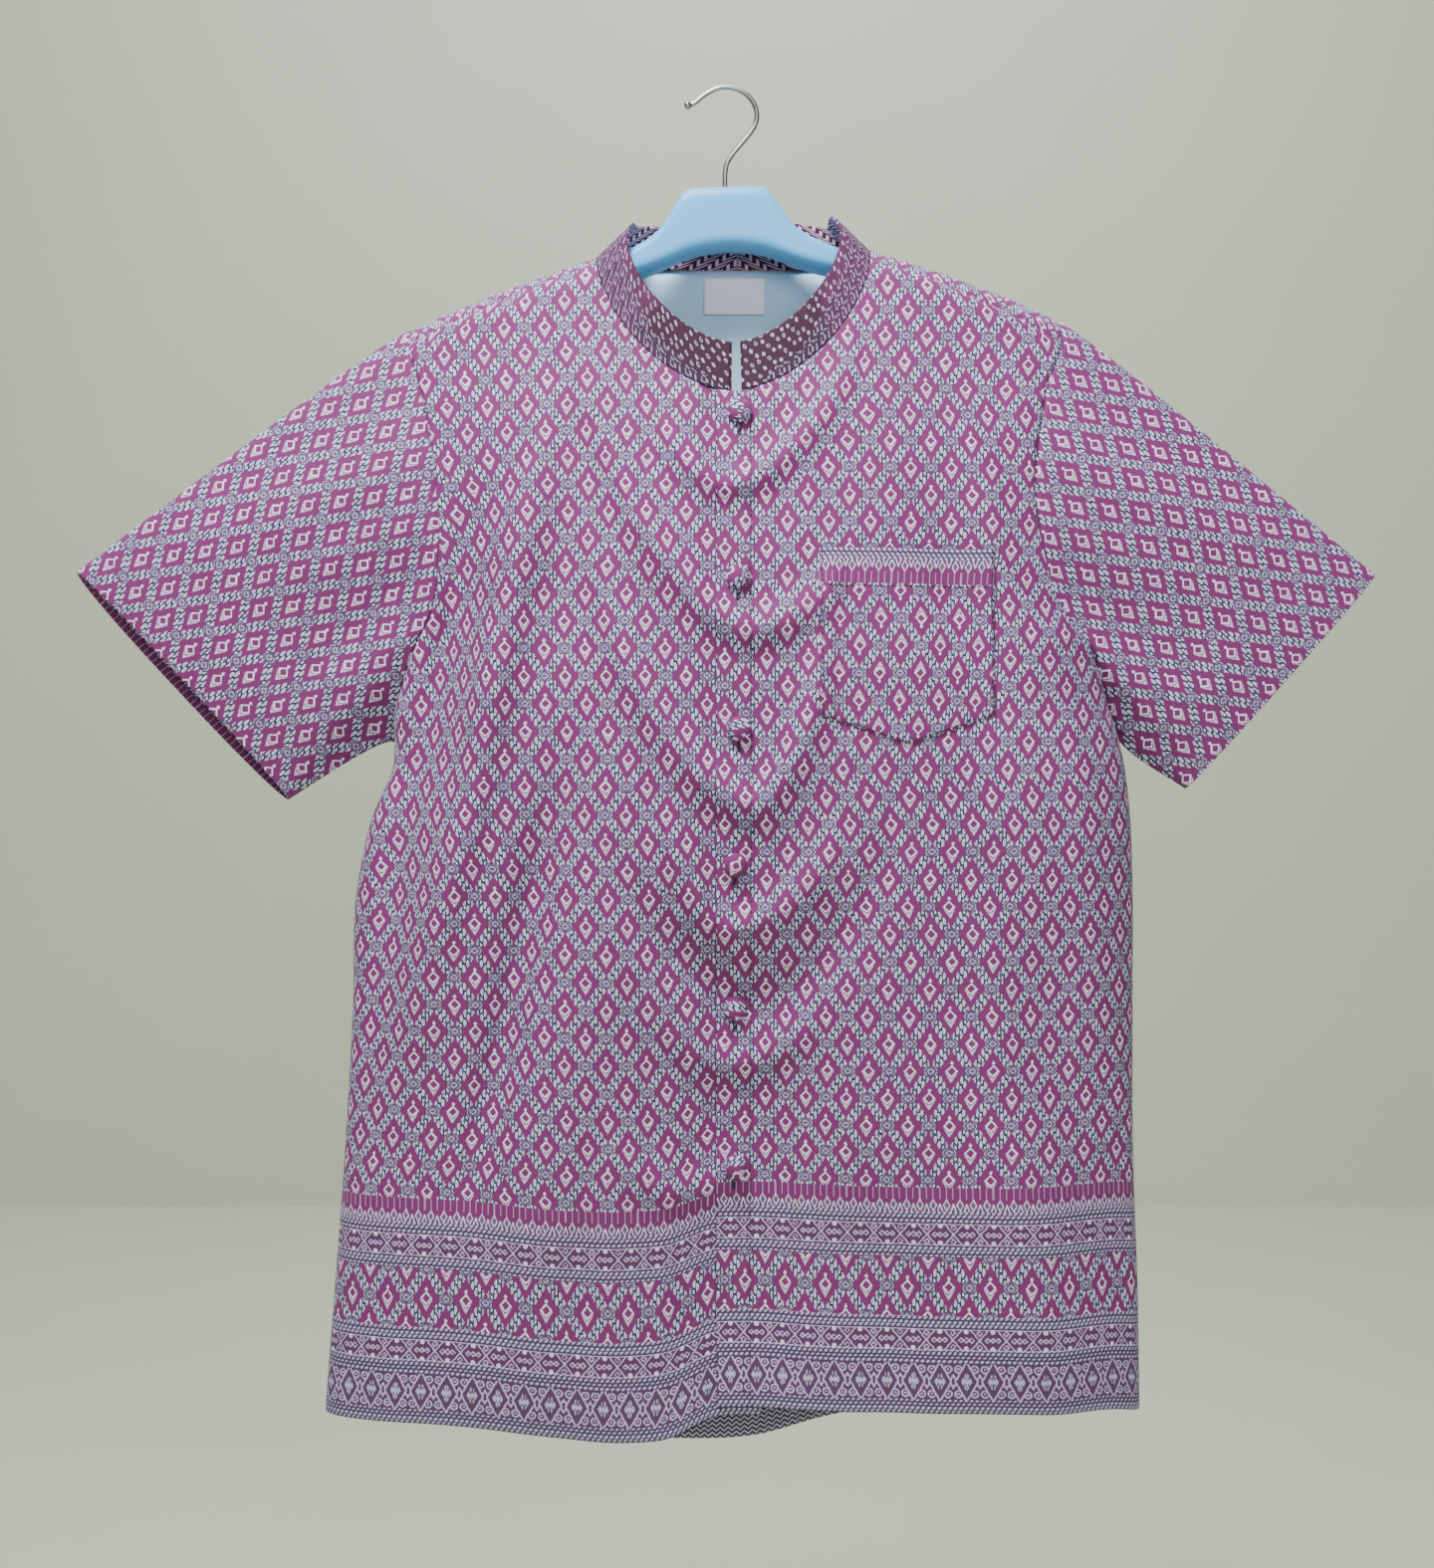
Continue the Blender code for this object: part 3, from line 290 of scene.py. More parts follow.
# A covered button's section: radius, height above the cloth.
BUTTON_PROFILE = (
    (4.2, -0.6), (5.6, 0.1), (6.8, 0.8), (7.35, 1.5), (7.5, 2.3), (7.3, 3.1), (6.7, 3.9), (5.8, 4.6),
    (4.6, 5.2), (3.2, 5.65), (1.6, 5.9),
)
BUTTON_TOP = 6.0
BUTTON_SIDES = 40
BUTTON_GAP = 0.3
# Each button is cut farther on in the cloth than the one before: across, up, and turned in radians.
BUTTON_CUT_ACROSS = 9.3
BUTTON_CUT_UP = 7.1
BUTTON_CUT_TURN = 1.7
# The end of a buttonhole below its button, and half the size of one stitch across it.
BUTTONHOLE_DROP = 4.5
BUTTONHOLE_LENGTH = 9.5
BUTTONHOLE_STITCHES = 12
BUTTONHOLE_SIDE = 0.55
BUTTONHOLE_PROUD = 0.15
BUTTONHOLE_STITCH = (0.75, 0.4, 0.34)
THREAD_SIDES = 6
THREAD_RINGS = 4
# How far a stitch stands on the cloth, in shares of the thread's radius.
THREAD_PROUD = 0.4

HANGER_TILT = math.radians(2.0)
HANGER_PIVOT_Z = -64.0
# Stations of the moulded hanger out from its middle: across, top, underside, half thickness and how
# square its section is.
HANGER_STATIONS = (
    (0, -63.8, -101.6, 14, 5.0), (13, -63.8, -102.6, 14, 5.0), (23, -64.2, -104.6, 14, 5.0),
    (27, -66.8, -105.9, 14, 5.0), (30, -70.5, -107.2, 14, 5.0), (35, -79.0, -109.2, 14, 4.6),
    (42, -88.8, -112.0, 14, 4.2), (51, -95.4, -115.6, 14, 3.6), (62, -100.5, -119.5, 14, 3.0),
    (78, -107.6, -125.0, 13.5, 2.4), (100, -114.4, -131.5, 13.5, 2.2), (130, -126.0, -142.5, 13, 2.2),
    (160, -136.2, -152.5, 12.5, 2.2), (180, -144.4, -159.0, 11.5, 2.2), (189, -149.5, -160.5, 9, 2.2),
    (193, -153.2, -159.0, 5, 2.2),
)
HANGER_SIDES = 48
HANGER_STEPS = 110
# How much closer together the hanger's sections stand towards its ends.
HANGER_CROWDING = 0.25

WIRE_RADIUS = 1.6
WIRE_SIDES = 16
WIRE_STEPS = 120
# The hook's wire from its tip to the hanger: across, height.
HOOK = (
    (-25.6, -10.3), (-24.4, -10.0), (-23.0, -9.8), (-21.4, -9.5), (-18.6, -8.0), (-15.0, -5.0),
    (-10.4, -1.8), (-5.2, 0.7), (0.0, 1.6), (5.6, 0.8), (10.8, -1.2), (15.2, -4.6), (18.6, -9.4),
    (20.2, -15.0), (19.4, -21.4), (16.0, -27.4), (10.6, -34.0), (5.2, -40.4), (1.6, -46.0),
    (0.2, -52.0), (0.0, -60.0), (0.0, -75.4),
)
# The ball at the hook's tip. Its place and reach count the points of the wire's line above.
HOOK_BALL_AT = 1.6
HOOK_BALL_REACH = 1.7
HOOK_BALL_RADIUS = 2.7
# The wire's very tip starts at this share of its radius, and is full after so many points.
WIRE_TIP_SHARE = 0.3
WIRE_TIP_REACH = 0.4

# Places on the woven pattern, up from the shirt's hem.
ARMPIT_TO_HEM = 430.0
POCKET_PATTERN_START = 118.9
SLEEVE_PATTERN_START = 141.0
BUTTON_PATTERN_START = 200.0

# Pieces are laid on the cloth along lines that start in front of the shirt.
IN_FRONT = -200.0
FORWARD = Vector((0, -1, 0))
# Points of a line of cloth that is then divided into equal steps.
FINE_STEPS = 400
WELD_DISTANCE = 0.005

FLOOR_Z = -1.3
BACKDROP_Y = 3.0
BACKDROP_Z = 2.0
STAGE_SIZE = 12.0
LIGHT_AIM_Z = -0.4
# Each light: its name, place, size, power and how far back it is aimed.
LIGHTS = (
    ("key_light", (-0.32, -0.76, 1.0), 0.4, 47, 0.0),
    ("fill_light", (0.25, -1.75, 0.0), 0.8, 14, 0.0),
    ("backdrop_light", (0.0, 1.2, 2.4), 2.0, 78, BACKDROP_Y),
)
WORLD_STRENGTH = 0.3
CAMERA_PLACE = (-0.005, -1.35, -0.4394)
CAMERA_LENS = 48.98
CAMERA_SENSOR = 36.0


def length(name, description, default):
    """A size in metres that a user can change."""
    return bpy.props.FloatProperty(name=name, description=description, default=default, unit="LENGTH")


def hex_colour(name, description, default):
    """A colour that a user can change, as an sRGB hex value."""
    return bpy.props.StringProperty(name=name, description=description, default=default)


class ClothSettings(bpy.types.PropertyGroup):
    """Sizes of the cloth and its seams."""

    thickness: length("Thickness", "Thickness of the brocade", 0.0008)
    collar_thickness: length("Collar thickness", "Thickness of the lined collar", 0.0022)
    seam_depth: length("Seam depth", "How far a seam sinks into the cloth", 0.0018)
    stitch_length: length("Stitch length", "Length of one stitch of the topstitching", 0.0024)
    stitch_pitch: length("Stitch pitch", "From one stitch to the next", 0.0036)
    right_cut: length("Right cut", "Where the lattice is cut at the right front's edge", 0.006)
    left_cut: length("Left cut", "Where the lattice is cut at the left front's edge", 0.0078)
    thread_radius: length("Thread radius", "Half the thickness of the sewing thread", 0.0004)
    label_thickness: length("Label thickness", "Thickness of the label's satin", 0.0006)


class ColourSettings(bpy.types.PropertyGroup):
    """Colours of the cloth, the trims and the hanger, as sRGB hex values."""

    magenta: hex_colour("Magenta ground", "Warp of the field", "7A2A66")
    plum: hex_colour("Plum yarn", "Dark yarn between motifs", "2A1636")
    mauve: hex_colour("Mauve ground", "Ground of the border", "704A72")
    steel: hex_colour("Steel yarn", "Grey-blue leaves of the lattice", "645A7C")
    pale: hex_colour("Pale yarn", "Edges of the leaves", "E0E6FF")
    lilac: hex_colour("Lilac yarn", "Lines of the border and the collar", "CCBCDC")
    ice: hex_colour("Ice yarn", "White-blue motif yarn", "F8E8FF")
    collar: hex_colour("Collar ground", "Ground of the collar", "340824")
    lining: hex_colour("Lining ground", "Ground of the collar's lining", "4A1630")
    lining_leaf: hex_colour("Lining leaves", "Leaves of the collar's lining", "E0BCC6")
    reverse: hex_colour("Reverse", "Pale inner face of the brocade", "C2E3F4")
    hem_line: hex_colour("Turned hem", "Pale lines of the hem turned up inside", "B7ACBE")
    label: hex_colour("Label", "Woven satin of the label", "FCFDFF")
    hanger: hex_colour("Hanger", "Moulded plastic", "66C0F8")
    hanger_shade: hex_colour("Hanger shade", "Deeper streaks of the plastic", "5AB2EE")
    thread: hex_colour("Sewing thread", "Topstitching and buttonholes", "3A1C34")
    steel_wire: hex_colour("Hook", "Plated wire", "A9A9A4")
    wall: hex_colour("Backdrop", "Studio backdrop and floor", "DEE6CA")
    wall_shade: hex_colour("Backdrop shade", "Deeper patches of the backdrop", "D6DAC0")
    daylight: hex_colour("Daylight", "Soft light from all round", "DCE4EE")
    lamp: hex_colour("Lamps", "Softbox light", "F6F8FF")


class PatternSettings(bpy.types.PropertyGroup):
    """Repeats of the woven pattern."""

    lattice_width: length("Lattice width", "From one diamond to the next across", 0.0252)
    lattice_height: length("Lattice height", "From one diamond to the next up", 0.0334)


def column(name):
    """A column of the table of sections."""
    return np.array([row[SECTION_COLUMNS.index(name)] for row in SECTIONS], float)


def smooth(at, keys, values):
    """The values at the keys joined by one smooth curve, level beyond both ends."""
    keys = np.asarray(keys, float)
    values = np.asarray(values, float)
    slopes = np.gradient(values, keys)
    at = np.clip(np.asarray(at, float), keys[0], keys[-1])
    low = np.clip(np.searchsorted(keys, at) - 1, 0, len(keys) - 2)
    span = keys[low + 1] - keys[low]
    t = (at - keys[low]) / span
    start = (1 + 2 * t) * (1 - t) ** 2 * values[low] + t * (1 - t) ** 2 * span * slopes[low]
    end = t * t * (3 - 2 * t) * values[low + 1] + t * t * (t - 1) * span * slopes[low + 1]
    return start + end


def through(at, rows):
    keys, values = zip(*rows)
    return smooth(at, keys, values)


def of_section(name, x, z):
    """A column of the sections at a height, read on the side that each point lies on."""
    left = smooth(z, column("left_z"), column(name))
    right = smooth(z, column("right_z"), column(name))
    return np.where(x < BODY_MIDDLE_X, left, right)


def edge_x(side, z):
    name = "left" if side < 0 else "right"
    return smooth(z, column(name + "_z"), column(name + "_x"))


def section_z(side, row):
    return SECTIONS[row][SECTION_COLUMNS.index("left_z" if side < 0 else "right_z")]


def shoulder_point_x(side):
    return edge_x(side, section_z(side, SHOULDER_POINT_ROW))


def neck_side_x(side):
    return BODY_MIDDLE_X + side * NECK_HALF_WIDTH


def middle_depth(face, z):
    """The depth of the middle of the body, the same seen from both sides."""
    name = "front_middle" if face < 0 else "back_middle"
    both = column("left_z") + column("right_z")
    return smooth(z, both / 2, column(name))


def ramp(value):
    t = np.clip(value, 0, 1)
    return t * t * (3 - 2 * t)


def folds(rows, x, z):
    """How far the folds lift the cloth at each point."""
    lift = np.zeros(np.broadcast(x, z).shape)
    for z0, x0, z1, x1, z2, x2, width, height in rows:
        middle = smooth(z, (z2, z1, z0), (x2, x1, x0))
        reach = FOLD_FADE_SHARE * (z0 - z2)
        fade = ramp((z0 - z) / reach) * ramp((z - z2) / reach)
        lift = lift + height * fade * np.exp(-(((x - middle) / width) ** 2))
    return lift


def swags(x, z):
    """How far the swags between the buttons stand out."""
    lift = np.zeros(np.broadcast(x, z).shape)
    for row in SWAGS:
        at = dict(zip(SWAG_COLUMNS, row))
        left = x < at["middle_x"]
        reach = np.where(left, at["left_reach"], at["right_reach"])
        rise = np.where(left, at["left_rise"], at["right_rise"])
        out = np.clip(np.abs(x - at["middle_x"]) / reach, 0, 1)
        slope = SWAG_POWER * rise / reach * out ** (SWAG_POWER - 1)
        across = (z - at["bottom_z"] - rise * out**SWAG_POWER) / (at["width"] * np.hypot(1, slope))
        lift = lift + at["height"] * (1 - out**SWAG_FADE_POWER) * np.exp(-(across**2))
    return lift


def body_y(face, x, z):
    """The outer face of the front or the back at a place across and a height."""
    x = np.asarray(x, float)
    z = np.asarray(z, float)
    reach = np.where(x < BODY_MIDDLE_X, edge_x(VIEWER_LEFT, z), edge_x(VIEWER_RIGHT, z)) - BODY_MIDDLE_X
    across = np.clip((x - BODY_MIDDLE_X) / reach, 0, 1)
    edge = of_section("front_edge" if face < 0 else "back_edge", x, z)
    middle = middle_depth(face, z)
    rounding = (1 - across**SECTION_POWER) ** (1 / of_section("roundness", x, z))
    below = np.clip((through(x, RIDGE) - z) / SHOULDER_ROUND, 0, 1)
    arch = np.sqrt(1 - (1 - below) ** 2)
    rows = FRONT_FOLDS + FRONT_CREASES if face < 0 else BACK_FOLDS + BACK_CREASES
    lift = folds(rows, x, z) * (1 - across**EDGE_FADE_POWER) + (swags(x, z) if face < 0 else 0)
    return face * arch * (edge + (middle - edge) * rounding + lift)


def neck_z(x):
    """The front neckline at a place across."""
    across = np.clip(np.abs((x - BODY_MIDDLE_X) / NECK_HALF_WIDTH), 0, 1)
    return NECK_TOP_Z - NECK_DROP * (1 - across**NECK_POWER) ** (1 / NECK_POWER)


def evenly(values, points, count):
    """The values at so many steps of equal length along a line through the points."""
    along = along_ring(points)
    places = np.linspace(0, 1, len(along))
    return np.interp(np.interp(np.linspace(0, 1, count + 1), along, places), places, values)


def along_ring(points):
    """How far along a line of points each one lies, as a share of its length."""
    steps = np.linalg.norm(np.diff(points, axis=0), axis=1)
    along = np.concatenate([[0], np.cumsum(steps)])
    return along / along[-1]


def row_height(side, v, hem):
    """A row's height at each place across, and where it meets the side edge. v runs from hem to armpit."""
    hem_x, hem_z = hem[0] if side < 0 else hem[-1]
    ends = [section_z(s, ARMPIT_ROW) for s in SIDES]
    own = section_z(side, ARMPIT_ROW)
    level = sum(ends) / 2
    end_x = float(edge_x(side, (1 - v) * hem_z + v * own))

    def height(x):
        share = (x - BODY_MIDDLE_X) / (end_x - BODY_MIDDLE_X)
        low = through(BODY_MIDDLE_X + share * (hem_x - BODY_MIDDLE_X), hem)
        return (1 - v) * low + v * (level + (own - level) * np.clip(share, 0, 1))

    return height, end_x


def row_across(face, start_x, height, end_x, count):
    """Points at equal steps of cloth from start_x to the side edge."""
    share = 1 - (1 - np.linspace(0, 1, FINE_STEPS)) ** 2
    x = start_x + (end_x - start_x) * share
    z = height(x)
    x = evenly(x, np.column_stack([x, body_y(face, x, z), z]), count)
    x[-1] = end_x
    return np.column_stack([x, height(x)])


def armhole(side, count):
    """The edge of the body from the armpit to the shoulder point, in equal steps."""
    z = np.linspace(section_z(side, ARMPIT_ROW), section_z(side, SHOULDER_POINT_ROW), FINE_STEPS)
    z = evenly(z, np.column_stack([edge_x(side, z), z]), count)
    return np.column_stack([edge_x(side, z), z])


def patch(bottom, top, inner, outer):
    """A grid of points that fills four edges: rows from the bottom up, columns from inner to outer."""
    v = np.linspace(0, 1, len(inner))[:, None, None]
    u = np.linspace(0, 1, len(bottom))[None, :, None]
    across = (1 - u) * inner[:, None] + u * outer[:, None]
    upward = (1 - v) * bottom[None] + v * top[None]
    corners = (1 - v) * ((1 - u) * bottom[0] + u * bottom[-1]) + v * ((1 - u) * top[0] + u * top[-1])
    return across + upward - corners


def seam_drop(side, x):
    """How far the shoulder seam lies below the fold line, from the neck to the shoulder point."""
    point_x = shoulder_point_x(side)
    point_drop = through(point_x, RIDGE) - section_z(side, SHOULDER_POINT_ROW)
    neck_x = neck_side_x(side)
    share = np.clip((x - neck_x) / (point_x - neck_x), 0, 1)
    return SHOULDER_SEAM_DROP + (point_drop - SHOULDER_SEAM_DROP) * share


def neck_seam_x(side):
    """Where the front neckline meets the shoulder seam."""
    x = neck_side_x(side)
    for _ in range(SETTLING_ROUNDS):
        wanted = through(x, RIDGE) - SHOULDER_SEAM_DROP
        across = (1 - (np.clip(NECK_TOP_Z - wanted, 0, None) / NECK_DROP) ** NECK_POWER) ** (1 / NECK_POWER)
        x = BODY_MIDDLE_X + side * NECK_HALF_WIDTH * across
    return float(x)


def back_neck_x(side, angle=BACK_SEAM_ANGLE):
    """Where the back neckline meets a line of the shoulder's rounding."""
    drop = SHOULDER_ROUND * (1 - math.cos(angle))
    x = np.linspace(neck_side_x(side), BODY_MIDDLE_X + side * BACK_NECK_INNER, BACK_NECK_STEPS)
    return float(x[np.argmin(np.abs(through(x, RIDGE) - drop - BACK_NECK_Z))])


def front_top(side, start_x):
    """The upper edge of a front: its neckline, then its shoulder seam."""
    seam_x = neck_seam_x(side)
    share = np.sin(np.linspace(0, math.pi / 2, NECK_FINE_STEPS))
    x = start_x + (seam_x - start_x) * share
    x = evenly(x, np.column_stack([x, neck_z(x)]), NECK_COLUMNS)
    z = neck_z(x)
    z[-1] = through(seam_x, RIDGE) - SHOULDER_SEAM_DROP
    point_x = shoulder_point_x(side)
    seam = np.linspace(seam_x, point_x, FRONT_COLUMNS - NECK_COLUMNS + 1)[1:]
    seam_z = through(seam, RIDGE) - seam_drop(side, seam)
    return np.column_stack([np.concatenate([x, seam]), np.concatenate([z, seam_z])])


def with_depth(face, grid):
    return np.dstack([grid[..., 0], body_y(face, grid[..., 0], grid[..., 1]), grid[..., 1]])


def under_layer(grid):
    """Moves the underlap of right_front in beneath the edge of left_front."""
    share = ramp((grid[..., 0] - OVERLAP_X[0] + OVERLAP_BLEND) / OVERLAP_BLEND)
    moved = grid.copy()
    moved[..., 1] += UNDERLAP_DEPTH * share
    moved[-1, :, 2] -= UNDERLAP_TOP_DROP * share[-1]
    return moved


def front_grid(side, hem):
    """A front panel's outer face: rows from the hem up, columns from its own free edge out."""
    overlap = OVERLAP_X if side > 0 else OVERLAP_X[::-1]
    start_x = overlap[-1]
    rows = []
    for v in np.linspace(0, 1, ROWS_BELOW_ARMPIT + 1):
        height, end_x = row_height(side, v, hem)
        main = row_across(FRONT, start_x, height, end_x, FRONT_COLUMNS)
        lap = np.array([(x, height(x)) for x in overlap[:-1]])
        rows.append(np.vstack([lap, main]))
    lower = np.array(rows)
    bottom = lower[-1, len(overlap) - 1 :]
    top = front_top(side, start_x)
    v = np.linspace(0, 1, ROWS_ABOVE_ARMPIT + 1)[:, None]
    inner = (1 - v) * bottom[0] + v * top[0]
    upper = patch(bottom, top, inner, armhole(side, ROWS_ABOVE_ARMPIT))
    laps = []
    for x, low in zip(overlap[:-1], lower[-1]):
        high = np.array([x, neck_z(x)])
        laps.append((1 - v) * low + v * high)
    upper = np.concatenate([np.stack(laps, axis=1), upper], axis=1)
    grid = with_depth(FRONT, np.concatenate([lower, upper[1:]]))
    return under_layer(grid) if side < 0 else grid


def back_grid():
    """The back panel up to the start of the shoulders' rounding: rows from the hem up."""
    half = BACK_COLUMNS // 2
    rows = []
    for v in np.linspace(0, 1, ROWS_BELOW_ARMPIT + 1):
        halves = []
        for side in SIDES:
            height, end_x = row_height(side, v, BACK_HEM)
            halves.append(row_across(BACK, BODY_MIDDLE_X, height, end_x, half))
        rows.append(np.vstack([halves[0][::-1], halves[1][1:]]))
    lower = np.array(rows)
    drop = SHOULDER_ROUND * (1 - math.cos(BACK_SEAM_ANGLE))
    necks = [back_neck_x(side) for side in SIDES]
    points = [shoulder_point_x(side) for side in SIDES]
    left = np.linspace(points[0], necks[0], SHOULDER_COLUMNS + 1)
    right = np.linspace(necks[1], points[1], SHOULDER_COLUMNS + 1)
    neck = np.linspace(necks[0], necks[1], BACK_NECK_COLUMNS + 1)[1:-1]
    x = np.concatenate([left, neck, right])
    z = through(x, RIDGE) - drop
    z[SHOULDER_COLUMNS : SHOULDER_COLUMNS + BACK_NECK_COLUMNS + 1] = BACK_NECK_Z
    top = np.column_stack([x, z])
    left_arm = armhole(VIEWER_LEFT, ROWS_ABOVE_ARMPIT)
    right_arm = armhole(VIEWER_RIGHT, ROWS_ABOVE_ARMPIT)
    left_arm[-1] = top[0]
    right_arm[-1] = top[-1]
    upper = patch(lower[-1], top, left_arm, right_arm)
    return with_depth(BACK, np.concatenate([lower, upper[1:]]))


def shoulder_grid(side):
    """The part of the back panel that rounds the shoulder, from behind over to the seam in front."""
    point_x = shoulder_point_x(side)
    edge = neck_side_x(side)
    rows = []
    for angle in np.linspace(BACK_SEAM_ANGLE, 0, SHOULDER_BACK_ROWS + 1):
        start = back_neck_x(side, angle) if angle > 0 else edge
        x = np.linspace(start, point_x, SHOULDER_COLUMNS + 1)
        z = through(x, RIDGE) - SHOULDER_ROUND * (1 - math.cos(angle))
        rows.append(np.column_stack([x, body_y(BACK, x, z), z]))
    for share in np.linspace(0, 1, SHOULDER_FRONT_ROWS + 1)[1:]:
        start = (1 - share) * edge + share * neck_seam_x(side)
        x = np.linspace(start, point_x, SHOULDER_COLUMNS + 1)
        full = np.arccos(1 - seam_drop(side, x) / SHOULDER_ROUND)
        z = through(x, RIDGE) - SHOULDER_ROUND * (1 - np.cos(full * share))
        if share == 1:
            x, z = front_top(side, OVERLAP_X[-1] if side > 0 else OVERLAP_X[0])[NECK_COLUMNS:].T
        rows.append(np.column_stack([x, body_y(FRONT, x, z), z]))
    return np.array(rows)


def sleeve_steps():
    """The rows of a sleeve as shares of its length."""
    near = SLEEVE_SEAM_STEPS
    far = SLEEVE_HEM_STEPS
    between = np.linspace(near[-1], far[0], SLEEVE_ROWS - len(near) - len(far) + 2)
    return np.concatenate([near, between[1:-1], far])


def sleeve_frame(side):
    """A sleeve's sizes, its hem's corners, and the ways along the hem and up the sleeve."""
    sizes = dict(zip(SLEEVE_COLUMNS, SLEEVE_LEFT if side > 0 else SLEEVE_RIGHT))
    top = np.array([sizes["top_x"], 0.0, sizes["top_z"]])
    under = np.array([sizes["under_x"], 0.0, sizes["under_z"]])
    edge = (under - top) / np.linalg.norm(under - top)
    axis = np.array([-edge[2], 0.0, edge[0]])
    return sizes, top, under, edge, axis if axis[2] > 0 else -axis


def sleeve_grid(side, ring, ridge_index, seam_depth):
    """A sleeve from its armhole ring out to its hem: rows along the sleeve, columns round it."""
    sizes, top, under, _, axis = sleeve_frame(side)
    shares = np.zeros(len(ring))
    faces = np.full(len(ring), FRONT)
    shares[: ridge_index + 1] = along_ring(ring[ridge_index::-1])[::-1]
    shares[ridge_index:] = along_ring(ring[ridge_index:])
    faces[ridge_index:] = BACK
    angle = math.pi * shares
    cosine = np.cos(angle)
    chord = (1 - np.sign(cosine) * np.abs(cosine) ** (2 / SLEEVE_POWER)) / 2
    depth = np.sin(angle).clip(0, 1) ** (2 / SLEEVE_POWER)
    depth *= np.where(faces < 0, -SLEEVE_FRONT_DEPTH, SLEEVE_BACK_DEPTH)
    swell = np.where(faces < 0, sizes["front_swell"], sizes["back_swell"]) * np.sin(angle)
    hem = top + chord[:, None] * (under - top) - swell[:, None] * axis
    hem[:, 1] = depth
    rows = []
    for s in sleeve_steps():
        row = (1 - s) * ring + s * hem
        bow = math.sin(math.pi * math.sqrt(s))
        row[:, 2] += bow * (sizes["top_bow"] * (1 - shares) ** 2 + sizes["under_bow"] * shares**2)
        run = s / SLEEVE_FOLD_END
        fade = math.sin(math.pi * run**SLEEVE_FADE_POWER) if run < 1 else 0.0
        for start, end, width, height in SLEEVE_FOLDS + SLEEVE_CREASES:
            place = (1 - s) * start + s * end
            row[:, 1] += faces * height * fade * np.sin(angle) * np.exp(-(((shares - place) / width) ** 2))
        sink = seam_depth * np.exp(-(((s - SLEEVE_SEAM_AT) / SLEEVE_SEAM_WIDTH) ** 2))
        row[:, 1] -= faces * sink * np.sin(angle)
        rows.append(row)
    return np.array(rows)


def collar_grid(base):
    """The collar band from its base line, which runs from one front end round to the other."""
    share = along_ring(base)
    share = 1 - np.abs(2 * share - 1)
    keys, *ways = zip(*COLLAR_RISE)
    inward, backward, upward = (smooth(share, keys, way) for way in ways)
    towards = np.clip((BODY_MIDDLE_X - base[:, 0]) / COLLAR_TURN, -1, 1)
    rise = np.column_stack([inward * towards, backward, upward])
    return np.array([base + v * rise for v in np.linspace(0, 1, COLLAR_ROWS + 1)])


def collar_base(left_grid, shoulders, back):
    """The neck edge from one end of the collar round the back to the other."""
    start = OVERLAP_X.index(COLLAR_START_X)
    end = OVERLAP_X.index(COLLAR_END_X)
    right = front_top(VIEWER_LEFT, OVERLAP_X[0])[: NECK_COLUMNS + 1]
    right = with_depth(FRONT, right[None])[0]
    left = left_grid[-1][end : len(OVERLAP_X) + NECK_COLUMNS]
    behind = back[-1][SHOULDER_COLUMNS : SHOULDER_COLUMNS + BACK_NECK_COLUMNS + 1]
    first = left_grid[-1][1 : start + 1][::-1]
    round_right = shoulders[VIEWER_LEFT][::-1, 0]
    round_left = shoulders[VIEWER_RIGHT][:, 0]
    parts = [first, right[:-1], round_right[:-1], behind[:-1], round_left[:-1], left[::-1]]
    return np.vstack(parts)


def arm_ring(side, front, shoulder, back):
    """The armhole's ring from the armpit up the front, over the shoulder and down the back."""
    over = shoulder[::-1, -1]
    column_of_back = -1 if side > 0 else 0
    up = front[ROWS_BELOW_ARMPIT:, -1]
    down = back[ROWS_BELOW_ARMPIT:, column_of_back][::-1]
    return np.vstack([up[:-1], over[:-1], down])


def steps_along(grid, axis):
    """How far along the cloth each point of a grid lies, added up along one of its axes."""
    steps = np.linalg.norm(np.diff(grid, axis=axis), axis=2)
    zero = np.zeros_like(np.take(steps, [0], axis=axis))
    return np.concatenate([zero, np.cumsum(steps, axis=axis)], axis=axis)


def panel_weave(face, grid, hem, start_x):
    """Places on the weave of a body panel: across from start_x, and up from the hem."""
    x = grid[..., 0]
    z = grid[..., 2]
    level_z = (z[:, 1:] + z[:, :-1]) / 2
    deeper = body_y(face, x[:, 1:], level_z) - body_y(face, x[:, :-1], level_z)
    steps = np.hypot(np.diff(x, axis=1), deeper) * np.sign(np.diff(x, axis=1))
    across = np.concatenate([np.zeros((len(x), 1)), np.cumsum(steps, axis=1)], axis=1)
    forward = np.sign(x[0, -1] - x[0, 0])
    zero = [np.interp(start_x * forward, xs * forward, us) for xs, us in zip(x, across)]
    low = through(x, hem)
    fade = np.clip((section_z(VIEWER_LEFT, ARMPIT_ROW) - z) / ARMPIT_TO_HEM, 0, 1)
    up = z - (low.mean() + (low - low.mean()) * fade)
    below = np.clip((through(x, RIDGE) - z) / SHOULDER_ROUND, 0, 1)
    up = up + SHOULDER_ROUND * ((math.pi / 2 - np.arccos(1 - below)) - (1 - below))
    return np.dstack([across - np.array(zero)[:, None], up])


def sleeve_weave(side, grid):
    """Places on the weave of a sleeve: across it, and up from its hem towards the shoulder."""
    _, top, _, edge, axis = sleeve_frame(side)
    flat = grid * (1, 0, 1) - top
    across = steps_along(grid, 1)
    ridge = across[:, [int(grid.shape[1] / 2)]]
    chord = flat @ edge
    half = np.where(grid[..., 1] < 0, 1, -1)
    return np.dstack([np.where(half > 0, chord, -(across - ridge) + chord.mean()), flat @ axis])


